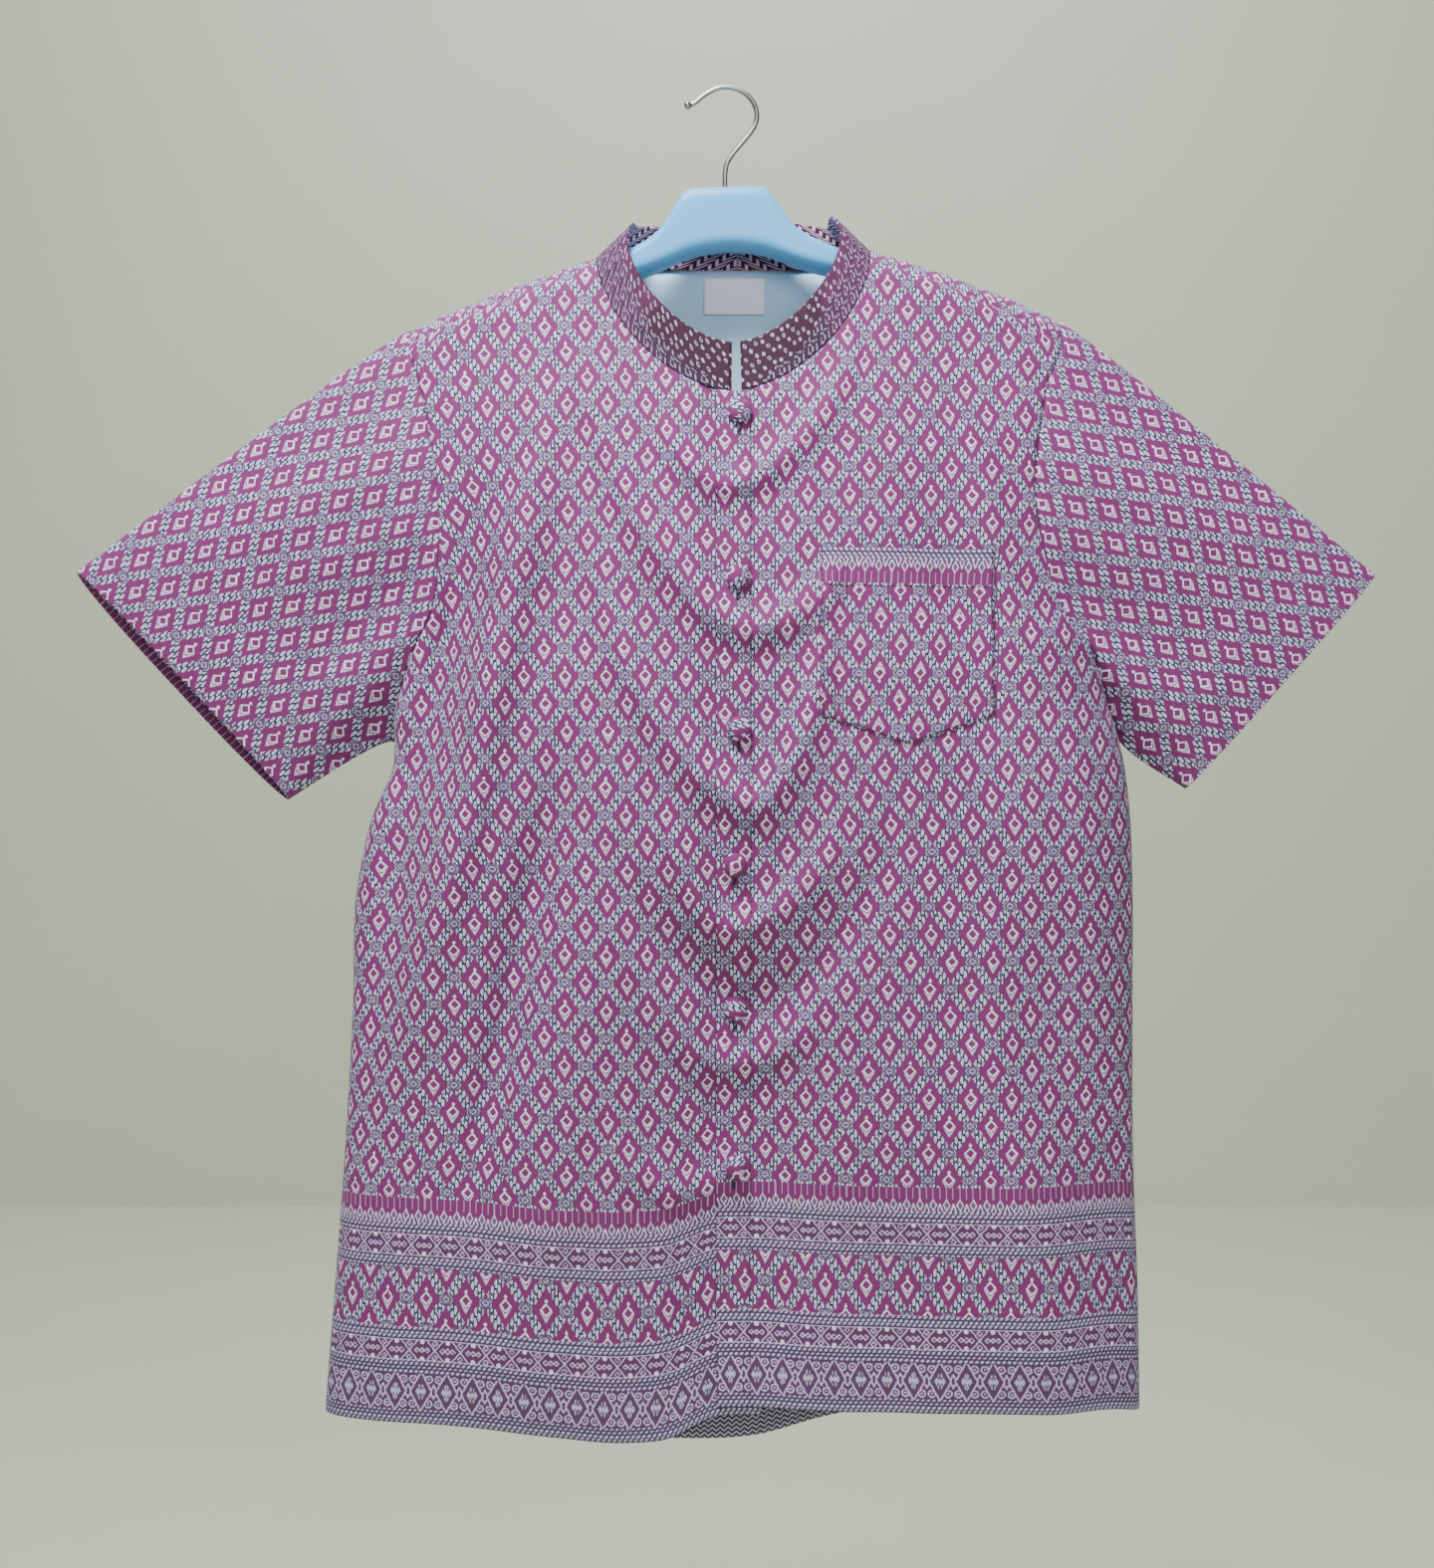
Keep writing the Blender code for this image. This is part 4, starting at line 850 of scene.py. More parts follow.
def sheet_object(name, blocks, weaves, outward, thickness, materials):
    """One open sheet made of grids of points, welded where they share an edge, with its thickness."""
    bm = bmesh.new()
    layer = bm.verts.layers.float_vector.new("weave")
    for block, weave in zip(blocks, weaves):
        rows, columns = block.shape[:2]
        made = bmesh.ops.create_grid(bm, x_segments=columns - 1, y_segments=rows - 1, size=1.0)["verts"]
        # create_grid runs along X first, from the lower left corner.
        for vert, point, place in zip(made, block.reshape(-1, 3).tolist(), weave.reshape(-1, 2).tolist()):
            vert.co = point
            vert[layer] = (*place, 0.0)
    bmesh.ops.remove_doubles(bm, verts=bm.verts[:], dist=WELD_DISTANCE)
    bmesh.ops.recalc_face_normals(bm, faces=bm.faces[:])
    bmesh.ops.scale(bm, vec=(MM, MM, MM), verts=bm.verts[:])
    bm.normal_update()
    if sum(face.normal.dot(outward(face.calc_center_median())) for face in bm.faces) < 0:
        bmesh.ops.reverse_faces(bm, faces=bm.faces[:])
    obj = object_of(name, bm, materials)
    wall = obj.modifiers.new("thickness", "SOLIDIFY")
    wall.thickness = thickness
    wall.offset = -1
    wall.use_even_offset = False
    if len(materials) > 1:
        wall.material_offset = 1
        wall.material_offset_rim = 0
    return obj


def object_of(name, bm, materials):
    """The object of a finished mesh in metres, at the origin and shaded smooth."""
    for face in bm.faces:
        face.smooth = True
    mesh = bpy.data.meshes.new(name)
    bm.to_mesh(mesh)
    bm.free()
    for material in materials:
        mesh.materials.append(material)
    obj = bpy.data.objects.new(name, mesh)
    bpy.context.scene.collection.objects.link(obj)
    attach(obj, "root")
    return obj


# Which way is outward at a place on a piece.
def to_front(place):
    return FORWARD


def from_plane(place):
    return Vector((0, place.y, 0))


def from_neck(place):
    return Vector((place.x - BODY_MIDDLE_X * MM, place.y - NECK_MIDDLE_Y * MM, 0))


def linear(code):
    """A linear colour from an sRGB hex value."""
    values = []
    for start in (0, 2, 4):
        share = int(code[start : start + 2], 16) / 255
        values.append(share / 12.92 if share <= 0.04045 else ((share + 0.055) / 1.055) ** 2.4)
    return (*values, 1.0)


def add_node(tree, kind, settings=None, links=None):
    """A node with its settings, and its inputs each linked to a socket or set to a value."""
    node = tree.nodes.new(kind)
    for name, value in (settings or {}).items():
        setattr(node, name, value)
    for name, value in (links or {}).items():
        if isinstance(value, bpy.types.NodeSocket):
            tree.links.new(value, node.inputs[name])
        else:
            node.inputs[name].default_value = value
    return node


MATH_OF_OPERATOR = {
    ast.Add: "ADD", ast.Sub: "SUBTRACT", ast.Mult: "MULTIPLY", ast.Div: "DIVIDE",
    ast.Gt: "GREATER_THAN", ast.Lt: "LESS_THAN",
}
MATH_OF_NAME = {
    "abs": "ABSOLUTE", "floor": "FLOOR", "fract": "FRACT", "min": "MINIMUM", "max": "MAXIMUM",
    "sqrt": "SQRT", "sign": "SIGN",
}


def formulas(tree, text, known):
    """Math nodes for lines such as 'ring = abs(r - 2) < 0.5', and the sockets by their names."""
    known = dict(known)

    def socket_of(part):
        if isinstance(part, ast.Constant):
            return float(part.value)
        if isinstance(part, ast.Name):
            return known[part.id]
        if isinstance(part, ast.BinOp):
            operation, values = MATH_OF_OPERATOR[type(part.op)], (part.left, part.right)
        elif isinstance(part, ast.Compare):
            operation, values = MATH_OF_OPERATOR[type(part.ops[0])], (part.left, part.comparators[0])
        else:
            operation, values = MATH_OF_NAME[part.func.id], part.args
        inputs = {i: socket_of(value) for i, value in enumerate(values)}
        return add_node(tree, "ShaderNodeMath", {"operation": operation}, inputs).outputs[0]

    for line in ast.parse(text).body:
        known[line.targets[0].id] = socket_of(line.value)
    return known


def new_material(name):
    material = bpy.data.materials.new(name)
    material.use_nodes = True
    tree = material.node_tree
    return material, tree, tree.nodes["Principled BSDF"]


# Patterns are drawn on squares of 0.55 millimetres, coarser than real threads so that they show.
THREAD = """
x = (floor(u / 0.55) + 0.5) * 0.55
y = (floor(w / 0.55) + 0.5) * 0.55
"""

# The half-drop lattice: x and y are in millimetres, wide and tall the half repeats. rx and ry are
# then places from the nearest diamond's centre. Each diamond holds a small one with a bead above it
# and a fringe below, between bands of leaves that cross in a knot. p runs along a band, q across it.
LATTICE = """
ax = abs(fract(x / repeat_x + 0.5) - 0.5) * repeat_x
ay = (fract(y / repeat_y + 0.5) - 0.5) * repeat_y
far = (ax / wide + abs(ay) / tall) > 1
rx = ax + far * (wide - ax * 2)
ry = ay - far * sign(ay) * tall
rz = abs(ry)
q = (1 - rx / wide - rz / tall) * 10
p = (rz * tall - rx * wide) / 20.9
turn = fract(p / 4 + q * 0.24) - 0.5
leaf = turn * turn * 13 + (q - 1.8) * (q - 1.8) * 0.36
open = rx / 9.0 + rz / 13.9 + (leaf < 1.1) * 0.07
band = open > 1
side_knot = (wide - rx) * (wide - rx) * 0.5 + rz * rz
tall_knot = rx * rx * 0.5 + (tall - rz) * (tall - rz)
knot = sqrt(min(side_knot, tall_knot))
plain = band * (knot > 3.7)
crossing = band - plain
leaf_edge = plain * (leaf > 0.34) * (leaf < 1.1)
leaf_fill = plain * (leaf < 0.34)
leaf_line = plain * (leaf > 1.1) * (leaf < 2.9)
ring = crossing * (knot < 2.9) * (abs(fract(rx * 0.42 - rz * 0.3) - 0.5) < 0.2)
ring_line = crossing * (1 - ring)
body = rx / 3.8 + rz / 3.9
gem = abs(body - 0.84) < 0.16
bead = (rx / 1.05 + abs(ry - 4.9) / 1.4) < 1
skirt = rx / 3.9 + abs(ry + 0.6) / 6.6
below = (skirt < 1) * (ry < 0) * (body > 1.14)
skirt_edge = below * (skirt > 0.76)
strand = below * (skirt < 0.76) * (fract(rx / 2.2 + 0.25) < 0.5)
field_white = max(max(bead, gem), skirt_edge * 0.7)
field_pale = max(max(leaf_edge, leaf_fill * 0.4), max(ring * 0.5, strand * 0.7))
field_steel = band - crossing * 0.7
field_mauve = crossing
field_dark = max(leaf_line * 0.95, max(ring_line * 0.35, (below - skirt_edge) * (1 - strand) * 0.6))
"""

# The border from the hem up, in rows of rope, crosses, lattice diamonds and hearts, closed by a row
# of buds and a comb of fine lines. x is across and y up from the hem.
BORDER = """
s = fract(x / 16.2) * 16.2
sx = abs(s - 8.1)
tx = 8.1 - sx
rope_low = y < 9
rope_hearts = (y > 31.5) * (y < 39.4)
rope_mid = (y > 52.9) * (y < 60.3)
rope_top = (y > 97.3) * (y < 104.5)
rope_last = (y > 118.9) * (y < 126.2)
rope = max(max(rope_low, rope_hearts), max(max(rope_mid, rope_top), rope_last))
strand_row = fract(y / 2.43)
strand_turn = fract(x / 3.3 - strand_row * 0.5 + floor(y / 2.43) * 0.5)
twist = (strand_turn < 0.55) * (abs(strand_row - 0.5) < 0.32)
cross_low = (y > 39.4) * (y < 52.9)
cross_high = (y > 104.5) * (y < 118.9)
crosses = max(cross_low, cross_high)
cy = abs(y - 46.15 - cross_high * 65.55)
rules = abs(cy - 6.2) < 0.35
arms = abs(sx - cy * 0.85) < 0.55
loops = abs((abs(sx - 4.9) + cy) - 1.5) < 0.5
caps = abs(sx + abs(cy - 4.4) - 1.6) < 0.45
knobs = sqrt(tx * tx + (cy - 5.3) * (cy - 5.3)) < 1.45
eyes = abs(tx + cy - 1.5) < 0.5
cross_pale = crosses * max(max(rules, arms), max(max(loops, caps), eyes))
cross_dark = crosses * max(0.7, abs(sx - cy * 0.85 - 1.2) < 0.5)
hearts = (y > 9) * (y < 31.5)
hy = abs(y - 20.25)
zigzag = abs(sx - 1.2 - hy * 0.56) < 0.55
inside_heart = sx < (0.9 + hy * 0.56)
curl = sqrt((sx - 3.1) * (sx - 3.1) + (hy - 7.7) * (hy - 7.7))
scrolls = max(abs(curl - 2.1) < 0.48, curl < 0.7)
heart_tip = abs(sx + (hy - 4) * 0.6) < 0.6
flower = tx / 3.6 + hy / 6.6
cuts = max(abs(tx - hy * 0.6) < 0.45, tx < 0.45)
hearts_pale = hearts * max(max(zigzag, inside_heart * max(scrolls, heart_tip)), (flower < 0.34))
hearts_steel = hearts * (flower < 0.95) * (1 - cuts)
hearts_dark = hearts * max(max(inside_heart * 0.5, (flower > 0.95) * 0.45), (flower < 0.95) * cuts * 0.55)
buds_row = (y > 126.2) * (y < 133.8)
bx = abs(fract(x / 8.1) - 0.5) * 8.1
by = y - 126.2
bulb = bx / 2.3 + abs(by - 3.7) / 4.1
bulb_edge = buds_row * (abs(bulb - 0.84) < 0.16)
bulb_fill = buds_row * (bulb < 0.64)
small_bud = buds_row * (abs(4.05 - bx - (4.4 - by) * 0.34) < 0.4) * (by < 4.6)
bud_ground = buds_row * (by < 3.4 + (bx > 2.6) * 1.2) * (bulb > 1)
comb_row = (y > 133.8) * (y < 140.8)
comb = comb_row * (abs(fract(x / 4.05 + 0.5) - 0.5) < 0.075)
border_pale = max(max(rope * twist, cross_pale), hearts_pale)
border_white = max(crosses * knobs, max(bulb_edge, small_bud))
border_dark = max(max(max(rope * (1 - twist) * 0.62, bud_ground * 0.3), cross_dark * 0.6), hearts_dark)
border_mauve = max(bud_ground, max(crosses * 0.5, hearts * 0.85))
bordered = max(max(max(rope, crosses), hearts), max(buds_row, comb_row))
"""

# How the border and the field come together: the row of large diamonds is the field itself.
JOINED = """
field = 1 - bordered
mauve_mask = max(field * field_mauve, border_mauve)
steel_mask = max(field * field_steel, max(bulb_fill * 0.8, rope * 0.9))
dark_mask = max(field * field_dark, border_dark)
pale_mask = max(field * field_pale, hearts_steel * 0.55)
lilac_mask = max(border_pale * 0.9, comb * 0.6)
white_mask = max(field * field_white, border_white * 0.85)
"""


def weave_sockets(tree):
    """The place on the weave of each point, in millimetres."""
    place = add_node(tree, "ShaderNodeAttribute", {"attribute_name": "weave"})
    parts = add_node(tree, "ShaderNodeSeparateXYZ", None, {0: place.outputs["Vector"]})
    return place.outputs["Vector"], parts.outputs[0], parts.outputs[1]


def finish_cloth(tree, shader, place, colour, sheen):
    """Uneven yarn, a ribbed weave and a soft sheen over a cloth's colour."""
    slub = add_node(
        tree, "ShaderNodeTexNoise", None, {"Vector": place, "Scale": 0.9, "Detail": 3.0, "Roughness": 0.6}
    )
    worn = add_node(tree, "ShaderNodeTexNoise", None, {"Vector": place, "Scale": 0.012, "Detail": 2.0})
    parts = add_node(tree, "ShaderNodeSeparateXYZ", None, {0: place})
    made = formulas(
        tree,
        """
rib = abs(fract(u / 0.9) - 0.5) + abs(fract(w / 0.7) - 0.5)
height = rib * 0.6 + slub * 0.5
shade = 0.82 + slub * 0.2 + worn * 0.16
""",
        {"u": parts.outputs[0], "w": parts.outputs[1], "slub": slub.outputs[0], "worn": worn.outputs[0]},
    )
    shaded = add_node(
        tree, "ShaderNodeMix", {"data_type": "RGBA", "blend_type": "MULTIPLY"},
        {0: 1.0, 6: colour, 7: made["shade"]},
    )
    bump = add_node(
        tree, "ShaderNodeBump", None, {"Strength": 0.35, "Distance": 0.0003, "Height": made["height"]}
    )
    tree.links.new(shaded.outputs[2], shader.inputs["Base Color"])
    tree.links.new(bump.outputs[0], shader.inputs["Normal"])
    shader.inputs["Roughness"].default_value = 0.74
    shader.inputs["Sheen Weight"].default_value = sheen
    shader.inputs["Sheen Roughness"].default_value = 0.4
    shader.inputs["Specular IOR Level"].default_value = 0.35


def woven(name, draw, ground, layers, sheen):
    """A woven cloth: the masks that draw makes, each filled with its colour over the ground's."""
    colours = bpy.context.scene.shirt_colours
    material, tree, shader = new_material(name)
    place, u, w = weave_sockets(tree)
    masks = draw(tree, place, {"u": u, "w": w})
    colour = linear(getattr(colours, ground))
    for mask, fill in layers:
        inputs = {0: masks[mask], 6: colour, 7: linear(getattr(colours, fill))}
        colour = add_node(tree, "ShaderNodeMix", {"data_type": "RGBA"}, inputs).outputs[2]
    finish_cloth(tree, shader, place, colour, sheen)
    return material


# The lattice starts again above the border, and is a little taller in the border's own row.
LATTICE_ROWS = """
upper = y > 119
row = (y - 78.8) * (0.88 + upper * 0.12) + upper * 0.3
"""


def brocade():
    """Cotton brocade with a raised silk pattern, drawn here in colour only: matt ground and paler pattern
    yarn, with no relief of its own.
    """

    def draw(tree, place, known):
        pattern = bpy.context.scene.shirt_pattern
        width = pattern.lattice_width / MM
        height = pattern.lattice_height / MM
        squares = formulas(tree, THREAD, known)
        border = formulas(tree, BORDER, squares)
        rows = formulas(tree, LATTICE_ROWS, squares)
        repeats = {"repeat_x": width, "repeat_y": height, "wide": width / 2, "tall": height / 2}
        field = formulas(tree, LATTICE, {"x": squares["x"], "y": rows["row"], **repeats})
        return formulas(tree, JOINED, {**field, **border})

    layers = [
        ("mauve_mask", "mauve"), ("steel_mask", "steel"), ("dark_mask", "plum"),
        ("pale_mask", "pale"), ("lilac_mask", "lilac"), ("white_mask", "ice"),
    ]
    return woven("cotton brocade, woven", draw, "magenta", layers, 0.08)


# The collar: rice grains towards its ends and upper edge, and bent fret lines towards its seam. end is
# the distance from the collar's middle, and uneven shifts and drops some of them.
COLLAR = """
end = abs(x)
row = floor(y / 4.4)
column = floor(x / 6 + row * 0.5)
chance = fract(column * 0.618 + row * 0.287)
gx = (fract(x / 6 + row * 0.5) - 0.5) * 6 + (chance - 0.5) * 2.6
gy = (fract(y / 4.4) - 0.5) * 4.4 + (fract(chance * 7) - 0.5) * 1.2
lean = gx + gy * 0.4
grain = sqrt(lean * lean + gy * gy * 0.5)
grains = (grain < 1.05) * (chance < 0.86) * (1 - (grain < 0.55) * (fract(chance * 5) > 0.45))
fx = (fract(x / 11 + floor(y / 8.2) * 0.5) - 0.5) * 11
fy = (fract(y / 8.2) - 0.5) * 8.2 + (uneven - 0.5) * 5
coil = max(abs(fx), abs(fy + fx * 0.35))
fret = abs(fract(coil / 3.4 + sign(fx) * 0.22) - 0.5) < 0.14
broken = fract(fx * 0.31 + fy * 0.17 + 0.2) < 0.72
zone = y < (1 + (end - 24) * 0.24 + uneven * 12)
pale_mask = max(zone * fret * broken * 0.5, (1 - zone) * grains * 0.7)
side = min(max((end - 55) / 70 + (uneven - 0.5) * 1.2, 0), 0.35)
dark_mask = zone * (1 - side) * 0.6
"""


def collar_brocade():
    """The same brocade cut where it changes to grains and frets on a deeper ground."""

    def draw(tree, place, known):
        uneven = add_node(tree, "ShaderNodeTexNoise", None, {"Vector": place, "Scale": 0.05, "Detail": 1.0})
        squares = formulas(tree, THREAD, {**known, "uneven": uneven.outputs[0]})
        return formulas(tree, COLLAR, squares)

    layers = [("side", "magenta"), ("dark_mask", "plum"), ("pale_mask", "lilac")]
    return woven("collar brocade, woven", draw, "collar", layers, 0.08)


# Inside the collar: rows of leaves set as a herringbone on a dark ground.
HERRINGBONE = """
hx = abs(fract(u / 12) - 0.5) * 12
leaf = fract((w + hx * 0.75) / 3.4)
pale_mask = (leaf < 0.45) * (hx > 0.7)
"""


def collar_lining():
    """Dark lining with pale leaves, woven."""

    def draw(tree, place, known):
        return formulas(tree, HERRINGBONE, known)

    return woven("collar lining, woven", draw, "lining", [("pale_mask", "lining_leaf")], 0.1)


# The brocade's reverse is plain, but for the face that is turned up at the hem.
TURNED_HEM = """
turned = w < 24
tx = abs(fract(u / 5.2) - 0.5) * 5.2
lines = turned * (fract((w + tx * 0.9) / 3.1) < 0.5)
"""


def cloth_reverse():
    """The brocade's reverse: pale floats of the pattern yarn, with the pattern turned up at the hem."""

    def draw(tree, place, known):
        return formulas(tree, TURNED_HEM, known)

    layers = [("turned", "plum"), ("lines", "hem_line")]
    return woven("brocade reverse, woven", draw, "reverse", layers, 0.1)


def label_satin():
    """Polyester label satin, woven: nearly white and slightly glossy, with fine ribs across."""
    colours = bpy.context.scene.shirt_colours
    material, tree, shader = new_material("polyester label satin, woven")
    place, u, w = weave_sockets(tree)
    made = formulas(tree, "rib = abs(fract(w / 0.6) - 0.5)", {"w": w})
    noise = add_node(tree, "ShaderNodeTexNoise", None, {"Vector": place, "Scale": 0.25, "Detail": 2.0})
    colour = add_node(
        tree, "ShaderNodeMix", {"data_type": "RGBA"},
        {0: noise.outputs[0], 6: linear(colours.ice), 7: linear(colours.label)},
    )
    bump = add_node(
        tree, "ShaderNodeBump", None, {"Strength": 0.2, "Distance": 0.0001, "Height": made["rib"]}
    )
    tree.links.new(colour.outputs[2], shader.inputs["Base Color"])
    tree.links.new(bump.outputs[0], shader.inputs["Normal"])
    shader.inputs["Roughness"].default_value = 0.45
    return material


def sewing_thread():
    """Twisted polyester thread: a little glossier than the cloth, with its twist as fine stripes."""
    material, tree, shader = new_material("plum sewing thread")
    place = add_node(tree, "ShaderNodeTexCoord")
    stripes = add_node(
        tree, "ShaderNodeTexWave", {"bands_direction": "DIAGONAL"},
        {"Vector": place.outputs["Object"], "Scale": 1400.0, "Distortion": 0.4},
    )
    colour = add_node(
        tree, "ShaderNodeMix", {"data_type": "RGBA", "blend_type": "MULTIPLY"},
        {0: 0.35, 6: linear(bpy.context.scene.shirt_colours.thread), 7: stripes.outputs[0]},
    )
    tree.links.new(colour.outputs[2], shader.inputs["Base Color"])
    shader.inputs["Roughness"].default_value = 0.5
    return material


def hanger_plastic():
    """Polypropylene, injection moulded: pale blue, smooth, with faint flow unevenness and soft gloss."""
    colours = bpy.context.scene.shirt_colours
    material, tree, shader = new_material("polypropylene, injection moulded")
    place = add_node(tree, "ShaderNodeTexCoord")
    flow = add_node(
        tree, "ShaderNodeTexNoise", None, {"Vector": place.outputs["Object"], "Scale": 14.0, "Detail": 2.0}
    )
    grain = add_node(
        tree, "ShaderNodeTexNoise", None, {"Vector": place.outputs["Object"], "Scale": 900.0, "Detail": 2.0}
    )
    colour = add_node(
        tree, "ShaderNodeMix", {"data_type": "RGBA"},
        {0: flow.outputs[0], 6: linear(colours.hanger_shade), 7: linear(colours.hanger)},
    )
    rough = add_node(
        tree, "ShaderNodeMapRange", None, {0: flow.outputs[0], 1: 0.3, 2: 0.7, 3: 0.34, 4: 0.46}
    )
    bump = add_node(
        tree, "ShaderNodeBump", None, {"Strength": 0.12, "Distance": 0.0001, "Height": grain.outputs[0]}
    )
    tree.links.new(colour.outputs[2], shader.inputs["Base Color"])
    tree.links.new(rough.outputs[0], shader.inputs["Roughness"])
    tree.links.new(bump.outputs[0], shader.inputs["Normal"])
    shader.inputs["IOR"].default_value = 1.49
    shader.inputs["Subsurface Weight"].default_value = 0.12
    shader.inputs["Subsurface Radius"].default_value = (0.004, 0.005, 0.006)
    return material


def hook_steel():
    """Steel wire, drawn and nickel plated: grey, with fine lines from the die."""
    material, tree, shader = new_material("nickel plated steel, drawn wire")
    place = add_node(tree, "ShaderNodeTexCoord")
    lines = add_node(
        tree, "ShaderNodeTexNoise", None, {"Vector": place.outputs["Object"], "Scale": 320.0, "Detail": 3.0}
    )
    rough = add_node(
        tree, "ShaderNodeMapRange", None, {0: lines.outputs[0], 1: 0.2, 2: 0.8, 3: 0.22, 4: 0.42}
    )
    shader.inputs["Base Color"].default_value = linear(bpy.context.scene.shirt_colours.steel_wire)
    shader.inputs["Metallic"].default_value = 1.0
    tree.links.new(rough.outputs[0], shader.inputs["Roughness"])
    return material


def material_named(name, maker):
    """A material that several pieces share, made once."""
    return bpy.data.materials.get(name) or maker()


def cloth_sheet(grids):
    """Works out the width, height and area of a piece's flat cut, and keeps none of them."""
    area = width = height = 0.0
    for grid in grids:
        across = np.diff(grid, axis=1)[:-1]
        upward = np.diff(grid, axis=0)[:, :-1]
        area += np.linalg.norm(np.cross(across, upward), axis=2).sum()
        width = max(width, steps_along(grid, 1)[:, -1].max())
        height = max(height, steps_along(grid, 0)[-1].max())
    flat = (round(width * MM, 3), round(height * MM, 3))
    area = min(area * MM * MM, flat[0] * flat[1])


def sewn_stitch(bm, place, size):
    """One stitch: a rounded body of half sizes along its own axes."""
    made = bmesh.ops.create_uvsphere(bm, u_segments=THREAD_SIDES, v_segments=THREAD_RINGS, radius=1.0)
    bmesh.ops.transform(bm, matrix=place @ Matrix.Diagonal((*size, 1)), verts=made["verts"])


def stitches(name, path, material):
    """A row of stitches that lie on a line of points in millimetres, a stitch pitch apart."""
    cloth = bpy.context.scene.shirt_cloth
    half = cloth.stitch_length / 2
    path = np.asarray(path, float)
    along = np.concatenate([[0], np.cumsum(np.linalg.norm(np.diff(path, axis=0), axis=1))]) * MM
    bm = bmesh.new()
    at = cloth.stitch_pitch / 2
    while at < along[-1]:
        ends = [
            Vector([np.interp(end, along, values) * MM for values in path.T])
            for end in (at - half, at + half)
        ]
        way = ends[1] - ends[0]
        turn = Vector((0, 0, 1)).rotation_difference(way.normalized()).to_matrix().to_4x4()
        place = Matrix.Translation((ends[0] + ends[1]) / 2 + FORWARD * cloth.thread_radius * THREAD_PROUD)
        sewn_stitch(bm, place @ turn, (cloth.thread_radius, cloth.thread_radius, half))
        at += cloth.stitch_pitch
    return object_of(name, bm, [material])


# Grids of the body's panels in millimetres, for the sleeves and the collar that are sewn to them.
FORM = {}


class MESH_OT_shirt_body(bpy.types.Operator):
    """Model the two front panels and the back panel"""

    bl_idname = "mesh.shirt_body"
    bl_label = "Shirt Body"

    def execute(self, context):
        cloth = context.scene.shirt_cloth
        face = material_named("cotton brocade, woven", brocade)
        reverse = material_named("brocade reverse, woven", cloth_reverse)
        right = front_grid(VIEWER_LEFT, RIGHT_HEM)
        left = front_grid(VIEWER_RIGHT, LEFT_HEM)
        back = back_grid()
        shoulders = {side: shoulder_grid(side) for side in SIDES}
        FORM.update(right=right, left=left, back=back, shoulders=shoulders)
        placket = np.abs(left[..., 0] - PLACKET_X)
        left = left.copy()
        groove = cloth.seam_depth / MM * PLACKET_GROOVE_SHARE
        left[..., 1] += groove * np.exp(-((placket / PLACKET_GROOVE_WIDTH) ** 2))
        fronts = (
            ("right_front", right, RIGHT_HEM, "front_right", cloth.right_cut),
            ("left_front", left, LEFT_HEM, "front_left", cloth.left_cut),
        )
        for name, grid, hem, node, cut in fronts:
            weave = panel_weave(FRONT, grid, hem, OVERLAP_X[0]) + [cut / MM, 0]
            obj = sheet_object(name, [grid], [weave], to_front, cloth.thickness, [face, reverse])
            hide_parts(node)
            cloth_sheet([grid])
        weave = panel_weave(BACK, back, BACK_HEM, BODY_MIDDLE_X)
        blocks = [back]
        weaves = [weave]
        for side in SIDES:
            block = shoulders[side]
            edge = weave[-1, : SHOULDER_COLUMNS + 1][::-1] if side < 0 else weave[-1, -SHOULDER_COLUMNS - 1 :]
            up = steps_along(block, 0)
            blocks.append(block)
            weaves.append(np.dstack([np.broadcast_to(edge[:, 0], up.shape), edge[None, :, 1] + up]))

        def outward(place):
            return Vector((0, 1, 0)) if place.y > 0 else Vector((0, 0, 1))

        obj = sheet_object("back_panel", blocks, weaves, outward, cloth.thickness, [face, reverse])
        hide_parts("back")
        cloth_sheet(blocks)
        return {"FINISHED"}


class MESH_OT_shirt_sleeves(bpy.types.Operator):
    """Model the two open sleeves from the armholes"""

    bl_idname = "mesh.shirt_sleeves"
    bl_label = "Shirt Sleeves"

    def execute(self, context):
        cloth = context.scene.shirt_cloth
        face = material_named("cotton brocade, woven", brocade)
        ridge_index = ROWS_ABOVE_ARMPIT + SHOULDER_FRONT_ROWS
        for side, front, name, node in (
            (VIEWER_LEFT, "right", "right_sleeve", "sleeve_right"),
            (VIEWER_RIGHT, "left", "left_sleeve", "sleeve_left"),
        ):
            ring = arm_ring(side, FORM[front], FORM["shoulders"][side], FORM["back"])
            grid = sleeve_grid(side, ring, ridge_index, cloth.seam_depth / MM)
            weave = sleeve_weave(side, grid)
            weave[..., 1] += SLEEVE_PATTERN_START
            obj = sheet_object(name, [grid], [weave], from_plane, cloth.thickness, [face])
            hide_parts(node)
            cloth_sheet([grid])
        return {"FINISHED"}


class MESH_OT_shirt_collar(bpy.types.Operator):
    """Model the standing collar band"""

    bl_idname = "mesh.shirt_collar"
    bl_label = "Mandarin Collar"

    def execute(self, context):
        cloth = context.scene.shirt_cloth
        base = collar_base(FORM["left"], FORM["shoulders"], FORM["back"])
        grid = collar_grid(base)
        across = steps_along(grid, 1)
        across -= across[:, [-1]] / 2
        near_end = np.abs(across[:, [-1]]) - np.abs(across)
        weave = np.dstack([np.sign(across) * near_end, steps_along(grid, 0)])
        face = material_named("collar brocade, woven", collar_brocade)
        inner = material_named("collar lining, woven", collar_lining)
        obj = sheet_object("collar_band", [grid], [weave], from_neck, cloth.collar_thickness, [face, inner])
        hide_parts("collar")
        cloth_sheet([grid])
        return {"FINISHED"}


